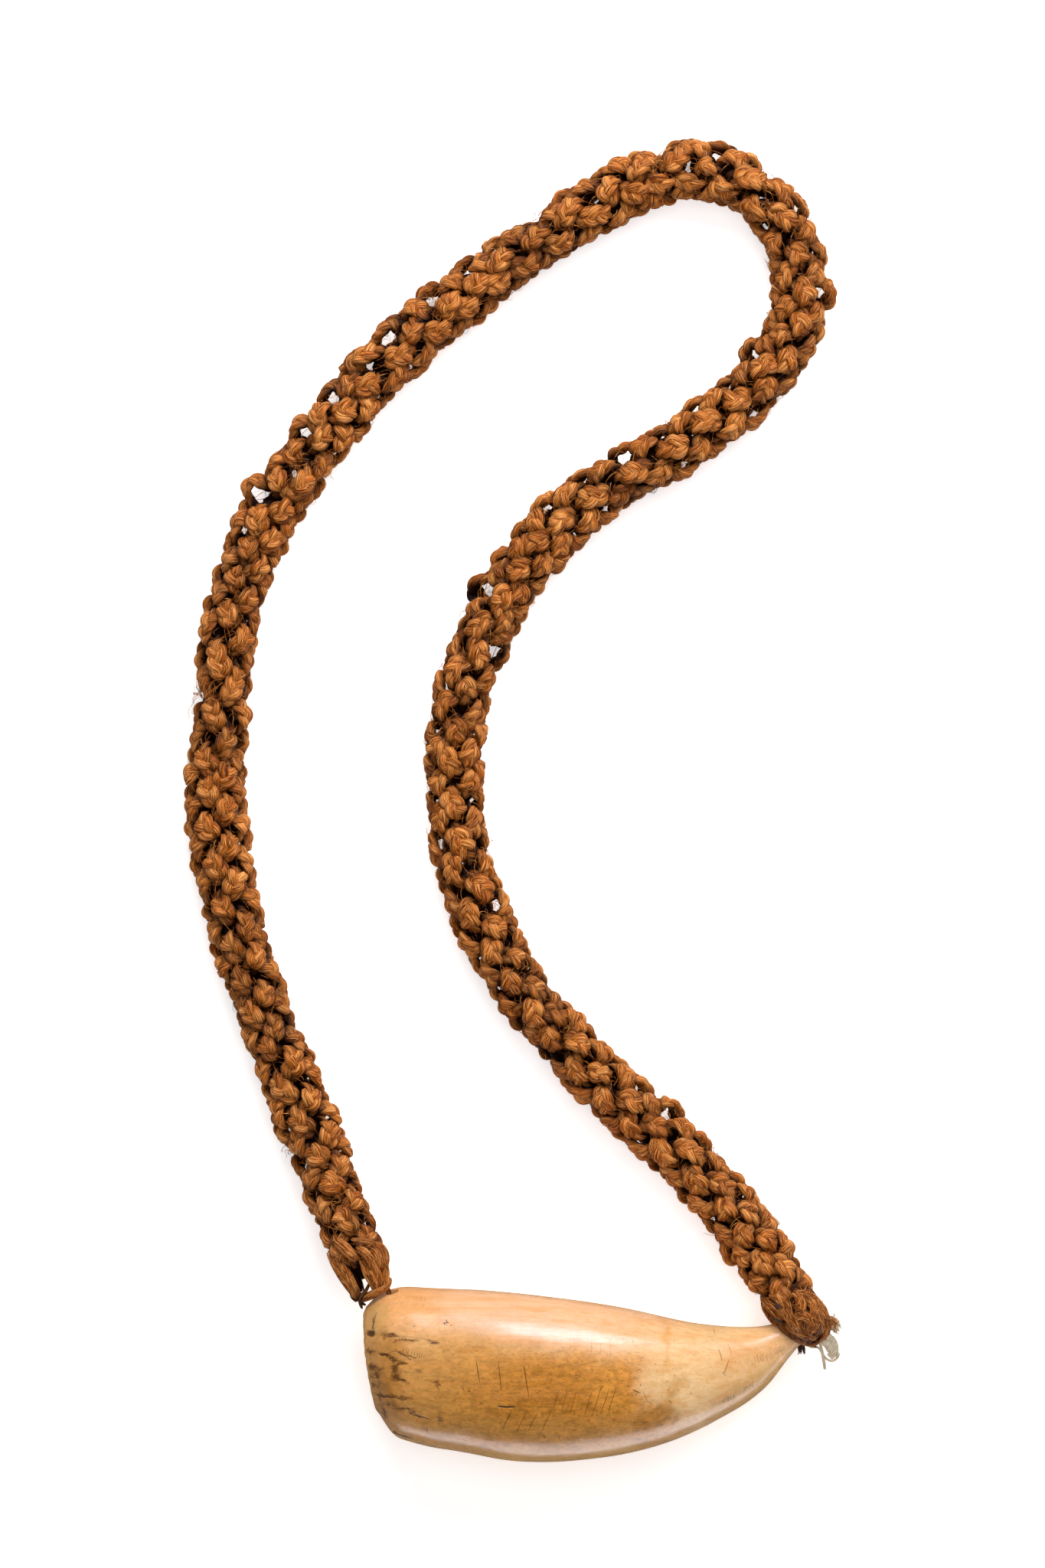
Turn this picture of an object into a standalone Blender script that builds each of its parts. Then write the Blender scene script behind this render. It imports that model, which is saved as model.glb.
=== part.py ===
"""Tabua: a polished sperm whale tooth on a loop of plaited coir cord, lying flat.

Frame: metres, +Z up. The tooth lies along X with its tip at +X, and the cord loops away in +Y.
The origin is under the middle of the tooth, on the surface that it lies on.
"""

import math

import bmesh
import bpy
import numpy as np
from mathutils import Vector

MM = 0.001

# Gap between two pieces that touch.
GAP = 0.3 * MM

# How finely curves are walked, how close points are merged, and up to what edge angle a face is
# shaded smooth.
SPLINE_SAMPLES = 1500
WELD_DISTANCE = 0.01 * MM
SMOOTH_ANGLE = math.radians(40)

# The tooth, root to tip, in mm. Each station is a cross-section: upper edge x, y, lower edge x, y,
# height of its middle, half its thickness.
TOOTH_STATIONS = (
    (-79.3, 23.2, -74.6, -14.4, 23.0, 13.8),
    (-76.0, 27.8, -71.2, -20.2, 23.0, 18.4),
    (-69.0, 31.2, -65.4, -23.8, 22.9, 21.6),
    (-58.5, 31.8, -56.5, -26.2, 22.9, 22.9),
    (-48.3, 31.6, -47.0, -27.7, 23.0, 23.6),
    (-30.1, 30.5, -30.1, -30.8, 23.9, 24.5),
    (-5.7, 27.7, -8.0, -31.5, 23.4, 24.0),
    (14.7, 24.4, 10.0, -29.6, 21.8, 22.3),
    (34.0, 20.1, 32.0, -24.0, 19.8, 18.6),
    (49.0, 17.9, 54.7, -12.9, 17.8, 13.6),
    (61.0, 17.4, 67.1, -3.4, 16.4, 9.6),
    (68.5, 18.5, 73.5, 5.0, 15.8, 6.6),
    (74.3, 20.6, 78.2, 10.6, 15.5, 5.0),
)
TOOTH_RINGS = 44
TOOTH_SIDES = 48
SECTION_POWER = 2.15
TIP_CAP_LENGTH = 4.5 * MM
TIP_CAP_RINGS = 5

# The rim of the root end swells out, and the pulp cavity opens inside it.
LIP_BULGE = 1.5 * MM
LIP_RINGS = 6
CAVITY_MOUTH_WIDTH = 28.0 * MM
CAVITY_MOUTH_THICKNESS = 18.4 * MM
CAVITY_DEPTH = 40.0 * MM
CAVITY_RINGS = 8
CAVITY_TAPER = 0.8
CAVITY_END_SHARE = 0.18
CAVITY_END_LENGTH = 1.5 * MM

# Drilled holes: the root one runs from the upper edge into the cavity, the tip one stands upright.
ROOT_HOLE_DIAMETER = 4.6 * MM
ROOT_HOLE_MOUTH = Vector((-70.2, 31.0, 29.6)) * MM
ROOT_HOLE_INNER = Vector((-72.5, 12.0, 24.0)) * MM
ROOT_HOLE_OVERRUN = 8.0 * MM
TIP_HOLE_DIAMETER = 4.2 * MM
TIP_HOLE_CENTRE = Vector((76.3, 15.3, 15.5)) * MM
TIP_HOLE_HALF_LENGTH = 10.0 * MM
HOLE_SIDES = 20

# The plaited cord: a tube on a route of its own points, in mm, from the root end to the tip.
CORD_DIAMETER = 22.0 * MM
CORD_ROUTE = (
    (-81.5, 40.5, 24.5),
    (-85.5, 51.0, 20.5),
    (-90.0, 62.0, 16.0),
    (-95.5, 76.0, 12.4),
    (-101.5, 92.0, 11.0),
    (-112.5, 119.0, 11.0),
    (-123.0, 148.0, 11.0),
    (-131.0, 178.0, 11.0),
    (-134.8, 208.0, 11.0),
    (-133.8, 239.0, 11.0),
    (-130.5, 270.0, 11.0),
    (-122.5, 299.0, 11.0),
    (-108.0, 326.0, 11.0),
    (-89.0, 351.0, 11.0),
    (-67.5, 374.5, 11.0),
    (-44.0, 394.5, 11.0),
    (-19.5, 412.5, 11.0),
    (6.5, 429.0, 11.0),
    (34.5, 440.0, 11.0),
    (61.5, 433.5, 11.0),
    (77.0, 409.5, 11.0),
    (74.0, 377.5, 11.0),
    (53.0, 353.5, 11.0),
    (27.5, 335.5, 11.0),
    (0.5, 319.5, 11.0),
    (-20.5, 298.0, 11.0),
    (-37.0, 271.0, 11.0),
    (-46.5, 242.0, 11.0),
    (-48.0, 211.5, 11.0),
    (-43.0, 181.0, 11.0),
    (-31.0, 152.5, 11.0),
    (-13.0, 127.5, 11.0),
    (8.0, 105.0, 11.0),
    (30.5, 84.0, 11.2),
    (51.5, 61.5, 12.6),
    (66.0, 41.5, 15.8),
    (74.0, 28.5, 18.0),
)
CORD_POINTS = 48
CORD_SMOOTHNESS = 4
THIN_SMOOTHNESS = 2
END_TAPER_POINTS = 3
ROOT_END_WIDTH = 0.80
TIP_END_WIDTH = 0.92

# The lashing at the root end: a neck below the plait that parts into two legs, x, y, z and width in
# mm. One leg goes through the drilled hole to a stopper knot in the cavity, and the other wraps the
# corner of the tooth to join it.
NECK_LENGTH = 5.0 * MM
NECK_WIDTHS = (1.0, 0.94, 0.72)
LEG_WIDTH = 5.6
LEG_POINTS = 26
RIGHT_LEG = (
    (-77.8, 36.6, 27.2, 7.0),
    (-74.4, 34.9, 29.4, 6.2),
    (-71.2, 32.6, 30.4, 3.6),
    (-70.8, 28.0, 28.7, 3.2),
    (-72.0, 18.0, 25.7, 3.2),
    (-72.4, 14.8, 24.8, 5.6),
    (-72.7, 11.6, 23.8, 4.4),
)
LEFT_LEG = (
    (-82.2, 35.6, 25.7, 6.6),
    (-85.4, 34.0, 25.2, 6.2),
    (-84.2, 30.4, 25.6, 5.4),
    (-79.6, 29.2, 27.2, 4.4),
    (-75.4, 31.6, 29.4, 4.2),
    (-71.9, 33.2, 30.6, 3.4),
)

# The lashing at the tip: a bulging knot with the tip of the tooth sunk into it.
KNOT_LENGTH = 19.0 * MM
KNOT_RINGS = 12
KNOT_SIDES = 20
KNOT_SWELL = 0.06
KNOT_BLUNTNESS = 3.2
KNOT_FLATNESS = 0.94
KNOT_DROP = 3.0 * MM

# The cotton string that comes out of the knot, turns back and hangs to the ground, in mm.
STRING_DIAMETER = 1.8 * MM
STRING_ROUTE = (
    (82.5, 18.0, 15.5),
    (87.8, 14.0, 13.8),
    (91.4, 10.6, 11.2),
    (92.6, 6.6, 7.6),
    (89.8, 4.3, 4.6),
    (86.4, 4.6, 2.8),
    (85.4, 1.8, 1.3),
)
STRING_POINTS = 22


def natural_spline(knots, values, where):
    """Evaluate the natural cubic spline through the given values at the given places."""
    count = len(knots)
    steps = np.diff(knots)
    slopes = np.diff(values, axis=0) / steps[:, None]
    matrix = np.eye(count)
    bends = np.zeros_like(values)
    for i in range(1, count - 1):
        matrix[i, i - 1:i + 2] = (steps[i - 1], 2 * (steps[i - 1] + steps[i]), steps[i])
        bends[i] = 6 * (slopes[i] - slopes[i - 1])
    bends = np.linalg.solve(matrix, bends)
    low = np.clip(np.searchsorted(knots, where) - 1, 0, count - 2)
    step = steps[low][:, None]
    after = (where - knots[low])[:, None] / step
    before = 1 - after
    curve = before * values[low] + after * values[low + 1]
    curve += ((before**3 - before) * bends[low] + (after**3 - after) * bends[low + 1]) * step**2 / 6
    return curve


def along(route, count):
    """Return points spaced evenly along the smooth curve through a route's own points."""
    values = np.array(route, dtype=float)
    knots = np.concatenate(([0.0], np.cumsum(np.linalg.norm(np.diff(values[:, :3], axis=0), axis=1))))
    dense = natural_spline(knots, values, np.linspace(0.0, knots[-1], SPLINE_SAMPLES))
    travelled = np.linalg.norm(np.diff(dense[:, :3], axis=0), axis=1)
    travelled = np.concatenate(([0.0], np.cumsum(travelled)))
    even = np.linspace(0.0, travelled[-1], count)
    return np.column_stack([np.interp(even, travelled, column) for column in dense.T])


def material(name, colour, roughness):
    """Make a plain Principled BSDF material."""
    made = bpy.data.materials.new(name)
    made.use_nodes = True
    shader = made.node_tree.nodes["Principled BSDF"]
    shader.inputs["Base Color"].default_value = (*colour, 1.0)
    shader.inputs["Roughness"].default_value = roughness
    shader.inputs["Metallic"].default_value = 0.0
    made.diffuse_color = (*colour, 1.0)
    return made


def add_object(name, mesh, collection, finish=None):
    """Put a mesh in a collection as a named object."""
    made = bpy.data.objects.new(name, mesh)
    collection.objects.link(made)
    if finish:
        mesh.materials.append(finish)
        mesh.shade_smooth()
        mesh.set_sharp_from_angle(angle=SMOOTH_ANGLE)
    else:
        made.hide_render = True
        made.display_type = "WIRE"
    return made


def boolean(target, cutter, operation):
    """Add an exact Boolean modifier to an object."""
    cut = target.modifiers.new(cutter.name, "BOOLEAN")
    cut.operation = operation
    cut.solver = "EXACT"
    cut.object = cutter


def oval_ring(bm, middle, across, up, half_width, half_thickness, sides):
    """Add one oval ring of vertices."""
    ring = []
    for i in range(sides):
        turn = 2 * math.pi * i / sides
        wide = math.copysign(abs(math.cos(turn)) ** (2 / SECTION_POWER), math.cos(turn))
        high = math.copysign(abs(math.sin(turn)) ** (2 / SECTION_POWER), math.sin(turn))
        ring.append(bm.verts.new(middle + across * wide * half_width + up * high * half_thickness))
    return ring


def skin(bm, rings, first_point, last_point):
    """Join rings into a closed skin that ends in a point at each end."""
    sides = len(rings[0])
    start = bm.verts.new(first_point)
    end = bm.verts.new(last_point)
    for i in range(sides):
        j = (i + 1) % sides
        bm.faces.new((start, rings[0][j], rings[0][i]))
        bm.faces.new((end, rings[-1][i], rings[-1][j]))
        for near, far in zip(rings, rings[1:]):
            bm.faces.new((near[i], near[j], far[j], far[i]))
    bmesh.ops.recalc_face_normals(bm, faces=bm.faces)


def tooth_sections():
    """Return the tooth's cross-sections, root to tip, in metres."""
    stations = np.array(TOOTH_STATIONS) * MM
    middles = (stations[:, 0:2] + stations[:, 2:4]) / 2
    knots = np.concatenate(([0.0], np.cumsum(np.linalg.norm(np.diff(middles, axis=0), axis=1))))
    rows = natural_spline(knots, stations, np.linspace(0.0, knots[-1], TOOTH_RINGS))
    sections = []
    for upper_x, upper_y, lower_x, lower_y, height, thickness in rows:
        upper = Vector((upper_x, upper_y, height))
        lower = Vector((lower_x, lower_y, height))
        across = (upper - lower).normalized()
        sections.append(((upper + lower) / 2, across, (upper - lower).length / 2, thickness))
    return sections


def tooth_mesh(name, grow=0.0):
    """Loft the tooth, with its pulp cavity, larger all round by grow."""
    up = Vector((0, 0, 1))
    sections = tooth_sections()
    bm = bmesh.new()
    rings = []

    tip, across, width, thickness = sections[-1]
    ahead = across.cross(up)
    for i in range(TIP_CAP_RINGS, 0, -1):
        turn = math.pi / 2 * i / (TIP_CAP_RINGS + 1)
        middle = tip + ahead * (TIP_CAP_LENGTH + grow) * math.sin(turn)
        sizes = ((width + grow) * math.cos(turn), (thickness + grow) * math.cos(turn))
        rings.append(oval_ring(bm, middle, across, up, *sizes, TOOTH_SIDES))
    tip_point = tip + ahead * (TIP_CAP_LENGTH + grow)

    for middle, across, width, thickness in reversed(sections):
        rings.append(oval_ring(bm, middle, across, up, width + grow, thickness + grow, TOOTH_SIDES))

    root, across, outer_width, outer_thickness = sections[0]
    outward = up.cross(across)
    mouth_width = CAVITY_MOUTH_WIDTH / 2
    mouth_thickness = CAVITY_MOUTH_THICKNESS / 2
    for i in range(1, LIP_RINGS):
        share = 1 - i / LIP_RINGS
        middle = root + outward * (LIP_BULGE + grow) * math.sin(math.pi * share)
        sizes = (
            share * (outer_width + grow) + (1 - share) * (mouth_width - grow),
            share * (outer_thickness + grow) + (1 - share) * (mouth_thickness - grow),
        )
        rings.append(oval_ring(bm, middle, across, up, *sizes, TOOTH_SIDES))

    for i in range(CAVITY_RINGS + 1):
        share = i / CAVITY_RINGS
        narrowing = (1 - share) ** CAVITY_TAPER * (1 - CAVITY_END_SHARE) + CAVITY_END_SHARE
        middle = root - outward * CAVITY_DEPTH * share
        sizes = (mouth_width * narrowing - grow, mouth_thickness * narrowing - grow)
        rings.append(oval_ring(bm, middle, across, up, *sizes, TOOTH_SIDES))
    cavity_point = root - outward * (CAVITY_DEPTH + CAVITY_END_LENGTH)

    skin(bm, rings, tip_point, cavity_point)
    mesh = bpy.data.meshes.new(name)
    bm.to_mesh(mesh)
    bm.free()
    return mesh


def flatten_underside(mesh):
    """Cut the mesh off at the ground, which leaves the small flat that it rests on."""
    bm = bmesh.new()
    bm.from_mesh(mesh)
    whole = bm.verts[:] + bm.edges[:] + bm.faces[:]
    cut = bmesh.ops.bisect_plane(bm, geom=whole, plane_co=(0, 0, 0), plane_no=(0, 0, 1), clear_inner=True)
    edges = [part for part in cut["geom_cut"] if isinstance(part, bmesh.types.BMEdge)]
    bmesh.ops.holes_fill(bm, edges=edges)
    bmesh.ops.recalc_face_normals(bm, faces=bm.faces)
    bm.to_mesh(mesh)
    bm.free()


def bore(name, start, end, diameter, collection):
    """Add a straight round cutter from start to end."""
    axis = end - start
    bm = bmesh.new()
    bmesh.ops.create_cone(
        bm, cap_ends=True, segments=HOLE_SIDES,
        radius1=diameter / 2, radius2=diameter / 2, depth=axis.length,
    )
    mesh = bpy.data.meshes.new(name)
    bm.to_mesh(mesh)
    bm.free()
    made = add_object(name, mesh, collection)
    made.location = (start + end) / 2
    made.rotation_mode = "QUATERNION"
    made.rotation_quaternion = Vector((0, 0, 1)).rotation_difference(axis)
    return made


def drill_holes(tooth, prefix, shrink, collection):
    """Drill the hole at the root end and the one at the tip."""
    inward = (ROOT_HOLE_INNER - ROOT_HOLE_MOUTH).normalized()
    outside = ROOT_HOLE_MOUTH - inward * ROOT_HOLE_OVERRUN
    upright = Vector((0, 0, TIP_HOLE_HALF_LENGTH))
    bores = (
        ("root_hole", outside, ROOT_HOLE_INNER, ROOT_HOLE_DIAMETER),
        ("tip_hole", TIP_HOLE_CENTRE - upright, TIP_HOLE_CENTRE + upright, TIP_HOLE_DIAMETER),
    )
    for name, start, end, diameter in bores:
        cutter = bore(prefix + name, start, end, diameter - 2 * shrink, collection)
        boolean(tooth, cutter, "DIFFERENCE")


def tube(name, points, diameter, widths, smoothness, collection, finish):
    """Make a round tube through the points, as a POLY curve with filled caps."""
    curve = bpy.data.curves.new(name, "CURVE")
    curve.dimensions = "3D"
    curve.bevel_depth = diameter / 2
    curve.bevel_resolution = smoothness
    curve.use_fill_caps = True
    spline = curve.splines.new("POLY")
    spline.points.add(len(points) - 1)
    for place, point, width in zip(spline.points, points, widths):
        place.co = (*point, 1.0)
        place.radius = width
    curve.materials.append(finish)
    made = bpy.data.objects.new(name, curve)
    collection.objects.link(made)
    return made


def as_mesh(curve_object, collection, finish=None):
    """Turn a tube into a closed mesh object in its place."""
    name = curve_object.name
    seen = curve_object.evaluated_get(bpy.context.evaluated_depsgraph_get())
    mesh = bpy.data.meshes.new_from_object(seen)
    bpy.data.objects.remove(curve_object)
    mesh.materials.clear()
    bm = bmesh.new()
    bm.from_mesh(mesh)
    bmesh.ops.remove_doubles(bm, verts=bm.verts, dist=WELD_DISTANCE)
    bmesh.ops.recalc_face_normals(bm, faces=bm.faces)
    bm.to_mesh(mesh)
    bm.free()
    mesh.name = name
    return add_object(name, mesh, collection, finish)


def cord_points():
    """Return the tube's points and its end directions, in metres."""
    points = along(CORD_ROUTE, CORD_POINTS) * MM
    root_way = Vector(points[0] - points[1]).normalized()
    tip_way = Vector(points[-1] - points[-2]).normalized()
    return points, root_way, tip_way


def build_cord(collection, finish):
    """Make the plaited cord as one plain tube, drawn in a little at both ends."""
    points, _, _ = cord_points()
    widths = np.ones(len(points))
    widths[:END_TAPER_POINTS] = np.linspace(ROOT_END_WIDTH, 1.0, END_TAPER_POINTS)
    widths[-END_TAPER_POINTS:] = np.linspace(1.0, TIP_END_WIDTH, END_TAPER_POINTS)
    return tube("coir_cord", points, CORD_DIAMETER, widths, CORD_SMOOTHNESS, collection, finish)


def build_root_lashing(clearance, collection, cutters, finish):
    """Make the neck below the plait and its two legs, one of them through the hole at the root end."""
    points, way, _ = cord_points()
    start = Vector(points[0]) + way * GAP
    end = start + way * NECK_LENGTH
    neck_route = [start, start.lerp(end, 0.5), end]
    width = CORD_DIAMETER * ROOT_END_WIDTH
    neck = tube("root_lashing", neck_route, width, NECK_WIDTHS, THIN_SMOOTHNESS, collection, finish)
    neck = as_mesh(neck, collection, finish)
    for name, route in (("right_leg", RIGHT_LEG), ("left_leg", LEFT_LEG)):
        rows = along(route, LEG_POINTS)
        widths = rows[:, 3] / LEG_WIDTH
        leg = tube(name, rows[:, :3] * MM, LEG_WIDTH * MM, widths, THIN_SMOOTHNESS, cutters, finish)
        boolean(neck, as_mesh(leg, cutters), "UNION")
    boolean(neck, clearance, "DIFFERENCE")
    return neck


def knot_mesh(name, grow=0.0):
    """Make the fat rounded end of the plait, larger all round by grow."""
    points, _, way = cord_points()
    start = Vector(points[-1]) + way * (GAP - grow)
    end = Vector(points[-1]) + way * (GAP + KNOT_LENGTH + grow) - Vector((0, 0, KNOT_DROP))
    side = Vector((0, 0, 1)).cross(way).normalized()
    up = way.cross(side)
    radius = CORD_DIAMETER / 2 * TIP_END_WIDTH
    bm = bmesh.new()
    rings = []
    for i in range(KNOT_RINGS):
        share = i / KNOT_RINGS
        swell = 1 + KNOT_SWELL * math.sin(math.pi * share)
        size = radius * swell * math.sqrt(1 - share**KNOT_BLUNTNESS) + grow
        middle = start.lerp(end, share)
        rings.append(oval_ring(bm, middle, side, up, size, size * KNOT_FLATNESS, KNOT_SIDES))
    skin(bm, rings, start, end)
    mesh = bpy.data.meshes.new(name)
    bm.to_mesh(mesh)
    bm.free()
    return mesh


def build_tip_lashing(clearance, collection, finish):
    """Make the knot at the tip, with the tip of the tooth sunk into it."""
    knot = add_object("tip_lashing", knot_mesh("tip_lashing"), collection, finish)
    boolean(knot, clearance, "DIFFERENCE")
    return knot


def build_string(collection, cutters, finish):
    """Make the cotton string that hangs from the knot at the tip."""
    points = along(STRING_ROUTE, STRING_POINTS) * MM
    widths = np.ones(len(points))
    string = tube("cotton_string", points, STRING_DIAMETER, widths, THIN_SMOOTHNESS, collection, finish)
    string = as_mesh(string, collection, finish)
    knot = add_object("knot_clearance", knot_mesh("knot_clearance", grow=GAP), cutters)
    boolean(string, knot, "DIFFERENCE")
    return string


def main():
    """Build every piece of the tabua."""
    for old in list(bpy.data.objects):
        bpy.data.objects.remove(old)
    scene = bpy.context.scene.collection
    parts = bpy.data.collections.new("tabua")
    cutters = bpy.data.collections.new("cutters")
    scene.children.link(parts)
    scene.children.link(cutters)

    ivory = material("polished_ivory", (0.72, 0.47, 0.24), 0.28)
    coir = material("plaited_coir", (0.27, 0.10, 0.03), 0.62)
    dark_coir = material("knotted_coir", (0.20, 0.07, 0.02), 0.68)
    cotton = material("cotton_string", (0.58, 0.50, 0.38), 0.85)

    tooth_shape = tooth_mesh("tooth")
    flatten_underside(tooth_shape)
    tooth = add_object("tooth", tooth_shape, parts, ivory)
    drill_holes(tooth, "", 0.0, cutters)
    clearance = add_object("clearance", tooth_mesh("clearance", grow=GAP), cutters)
    drill_holes(clearance, "clearance_", GAP, cutters)

    build_cord(parts, coir)
    build_root_lashing(clearance, parts, cutters, dark_coir)
    build_tip_lashing(clearance, parts, dark_coir)
    build_string(parts, cutters, cotton)


main()
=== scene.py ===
"""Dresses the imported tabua: a polished whale tooth on a loop of plaited coir cord, lying flat.

Sizes are in millimetres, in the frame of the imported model: the tooth lies along X with its tip at +X,
the cord loops away in +Y, and Z is up. Blender's own units are metres, and MM turns the one into the
other.
"""

import logging
import math
from dataclasses import dataclass, field
from enum import Enum
from functools import partial
from typing import Any, Callable, Sequence

import bmesh
import bpy
import numpy as np
from bpy.types import Material, Mesh, Node, NodeSocket, NodeTree, Object
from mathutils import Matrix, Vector, noise


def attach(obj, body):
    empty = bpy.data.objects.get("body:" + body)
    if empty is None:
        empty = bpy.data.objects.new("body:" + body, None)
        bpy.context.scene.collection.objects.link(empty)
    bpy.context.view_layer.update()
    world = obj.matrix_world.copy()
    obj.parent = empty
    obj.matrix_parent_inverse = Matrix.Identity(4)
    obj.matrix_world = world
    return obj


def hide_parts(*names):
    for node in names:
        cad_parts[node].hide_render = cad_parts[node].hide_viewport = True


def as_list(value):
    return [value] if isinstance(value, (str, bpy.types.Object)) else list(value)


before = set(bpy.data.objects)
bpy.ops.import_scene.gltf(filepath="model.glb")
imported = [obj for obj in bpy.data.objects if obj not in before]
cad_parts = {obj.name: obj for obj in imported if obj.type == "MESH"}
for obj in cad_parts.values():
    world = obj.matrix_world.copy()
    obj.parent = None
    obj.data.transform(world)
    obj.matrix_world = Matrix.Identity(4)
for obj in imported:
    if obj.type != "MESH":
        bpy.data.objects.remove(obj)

MM = 0.001
SEED = 1874
BODY = "root"
BAKE_MAP = "OFBake"
FIBRE_MAP = "Fibre"

Array = np.ndarray
Rng = np.random.Generator
Place = tuple[float, float]
Point = tuple[float, float, float]
AddNode = Callable[..., NodeSocket]

logging.basicConfig(level=logging.INFO, format="%(message)s")
log = logging.getLogger("tabua")


class Slot(Enum):
    """The record's material slots."""

    IVORY = "polished_ivory"
    PLAIT = "plaited_coir"
    KNOT = "knotted_coir"
    STRING = "cotton_string"


# Colours and nodes


def linear(colour: str) -> tuple[float, float, float, float]:
    """Turn an sRGB hex colour into linear RGBA.

    Args:
        colour: Six hex digits, with or without a leading #.

    Returns:
        Red, green, blue and an alpha of 1.
    """
    digits = colour.lstrip("#")
    channels = []
    for start in (0, 2, 4):
        value = int(digits[start:start + 2], 16) / 255
        channels.append(value / 12.92 if value <= 0.04045 else ((value + 0.055) / 1.055) ** 2.4)
    return (channels[0], channels[1], channels[2], 1.0)


def add_node(
    tree: NodeTree, kind: str, inputs: Sequence[Any] | dict[int | str, Any] = (), output: int | str = 0,
    **settings: Any,
) -> NodeSocket:
    """Add a node with its settings, its values and its links.

    Args:
        tree: The node tree that it goes into.
        kind: The node's Blender type, without the ShaderNode in front.
        inputs: Values or outputs of other nodes for its inputs, in order or by name or number.
        output: The name or number of the output that is wanted.
        **settings: Properties of the node.

    Returns:
        The wanted output.
    """
    made = tree.nodes.new("ShaderNode" + kind)
    for name, value in settings.items():
        setattr(made, name, value)
    set_inputs(made, inputs if isinstance(inputs, dict) else dict(enumerate(inputs)))
    return made.outputs[output]


def set_inputs(node: Node, inputs: dict[int | str, Any]) -> None:
    """Give a node's inputs their values and links.

    Args:
        node: The node.
        inputs: Values or outputs of other nodes, by the input's name or number.
    """
    for name, value in inputs.items():
        if isinstance(value, NodeSocket):
            node.id_data.links.new(value, node.inputs[name])
        else:
            node.inputs[name].default_value = value


def set_stops(ramp: bpy.types.ColorRamp, stops: Sequence[tuple[float, str]]) -> None:
    """Give a colour ramp its stops.

    Args:
        ramp: The ramp.
        stops: The place from 0 to 1 and the sRGB hex colour of each stop, in order.
    """
    while len(ramp.elements) > 1:
        ramp.elements.remove(ramp.elements[-1])
    ramp.elements[0].position = stops[0][0]
    ramp.elements[0].color = linear(stops[0][1])
    for place, colour in stops[1:]:
        ramp.elements.new(place).color = linear(colour)


def streaks(
    add: AddNode, place: NodeSocket, size: Sequence[float], turn: float, detail: float,
    distortion: float = 0.0,
) -> NodeSocket:
    """Add noise that is stretched as fibres, grain and scratches are.

    Args:
        add: Adds a node to the material.
        place: Where each point is.
        size: How far apart the noise's humps are along x, y and z.
        turn: How far it is turned about z, in radians.
        detail: Its finer octaves.
        distortion: How far it is bent by itself.

    Returns:
        The noise's output.
    """
    turned = add("Mapping", {"Vector": place, "Rotation": (0.0, 0.0, turn)})
    scaled = add("Mapping", {"Vector": turned, "Scale": tuple(1 / step for step in size)})
    values = {"Scale": 1.0, "Detail": detail, "Roughness": 0.6, "Distortion": distortion}
    return add("TexNoise", {"Vector": scaled, **values})


# Curves, noise and meshes


def natural_spline(knots: Array, values: Array, where: Array) -> Array:
    """Evaluate the natural cubic spline through some values.

    Args:
        knots: Rising places of the values.
        values: One row of values for each knot.
        where: Places to evaluate at.

    Returns:
        One row of values for each place.
    """
    count = len(knots)
    steps = np.diff(knots)
    slopes = np.diff(values, axis=0) / steps[:, None]
    matrix = np.eye(count)
    bends = np.zeros_like(values)
    for i in range(1, count - 1):
        matrix[i, i - 1:i + 2] = (steps[i - 1], 2 * (steps[i - 1] + steps[i]), steps[i])
        bends[i] = 6 * (slopes[i] - slopes[i - 1])
    bends = np.linalg.solve(matrix, bends)
    low = np.clip(np.searchsorted(knots, where) - 1, 0, count - 2)
    step = steps[low][:, None]
    after = (where - knots[low])[:, None] / step
    before = 1 - after
    curve = before * values[low] + after * values[low + 1]
    curve += ((before**3 - before) * bends[low] + (after**3 - after) * bends[low + 1]) * step**2 / 6
    return curve


def travelled(points: Array) -> Array:
    """Return how far along a line each of its points is, from 0."""
    return np.concatenate(([0.0], np.cumsum(np.linalg.norm(np.diff(points, axis=0), axis=1))))


def resampled(where: Array, places: Array, rows: Array) -> Array:
    """Read rows of values, one for each of some rising places, at other places between them."""
    return np.column_stack([np.interp(where, places, column) for column in rows.T])


def evenly(points: Array, count: int) -> Array:
    """Space points evenly along the smooth curve through a line's own points.

    Args:
        points: The line's points, with any further values in the columns after x, y and z.
        count: How many points to return.

    Returns:
        The evenly spaced points, with the same columns.
    """
    values = np.array(points, dtype=float)
    knots = travelled(values[:, :3])
    dense = natural_spline(knots, values, np.linspace(0.0, knots[-1], 6 * count + 200))
    places = travelled(dense[:, :3])
    return resampled(np.linspace(0.0, places[-1], count), places, dense)


def unit(vectors: Array) -> Array:
    """Scale each row to a length of 1."""
    return vectors / np.maximum(np.linalg.norm(vectors, axis=-1, keepdims=True), 1e-12)


def heading(points: Array) -> Array:
    """Return the direction ahead at each of a line's points."""
    return unit(np.gradient(points, axis=0))


def round_angles(count: int) -> Array:
    """Return evenly spaced angles round a full turn, from 0."""
    return 2 * math.pi * np.arange(count) / count


def blend(first: Any, second: Any, share: Any) -> Any:
    """Mix two values or tables, with some share of the second."""
    return first * (1 - share) + share * second


def wander(rng: Rng, where: Array, wavelength: float, size: float) -> Array:
    """Make a smooth random curve, as a sum of sines.

    Args:
        rng: Seeded source of randomness.
        where: Places to evaluate at.
        wavelength: Usual distance between two humps.
        size: Usual height of a hump.

    Returns:
        The curve's height at each place.
    """
    total = np.zeros_like(where, dtype=float)
    for stretch in (0.62, 0.85, 1.21, 1.73):
        total += np.sin(2 * math.pi * (where / (wavelength * stretch) + rng.random()))
    return total * size / 2


def read_points(mesh: Mesh) -> Array:
    """Return a mesh's points in millimetres."""
    points = np.empty(len(mesh.vertices) * 3, dtype=np.float32)
    mesh.vertices.foreach_get("co", points)
    return points.reshape(-1, 3).astype(float) / MM


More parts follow.
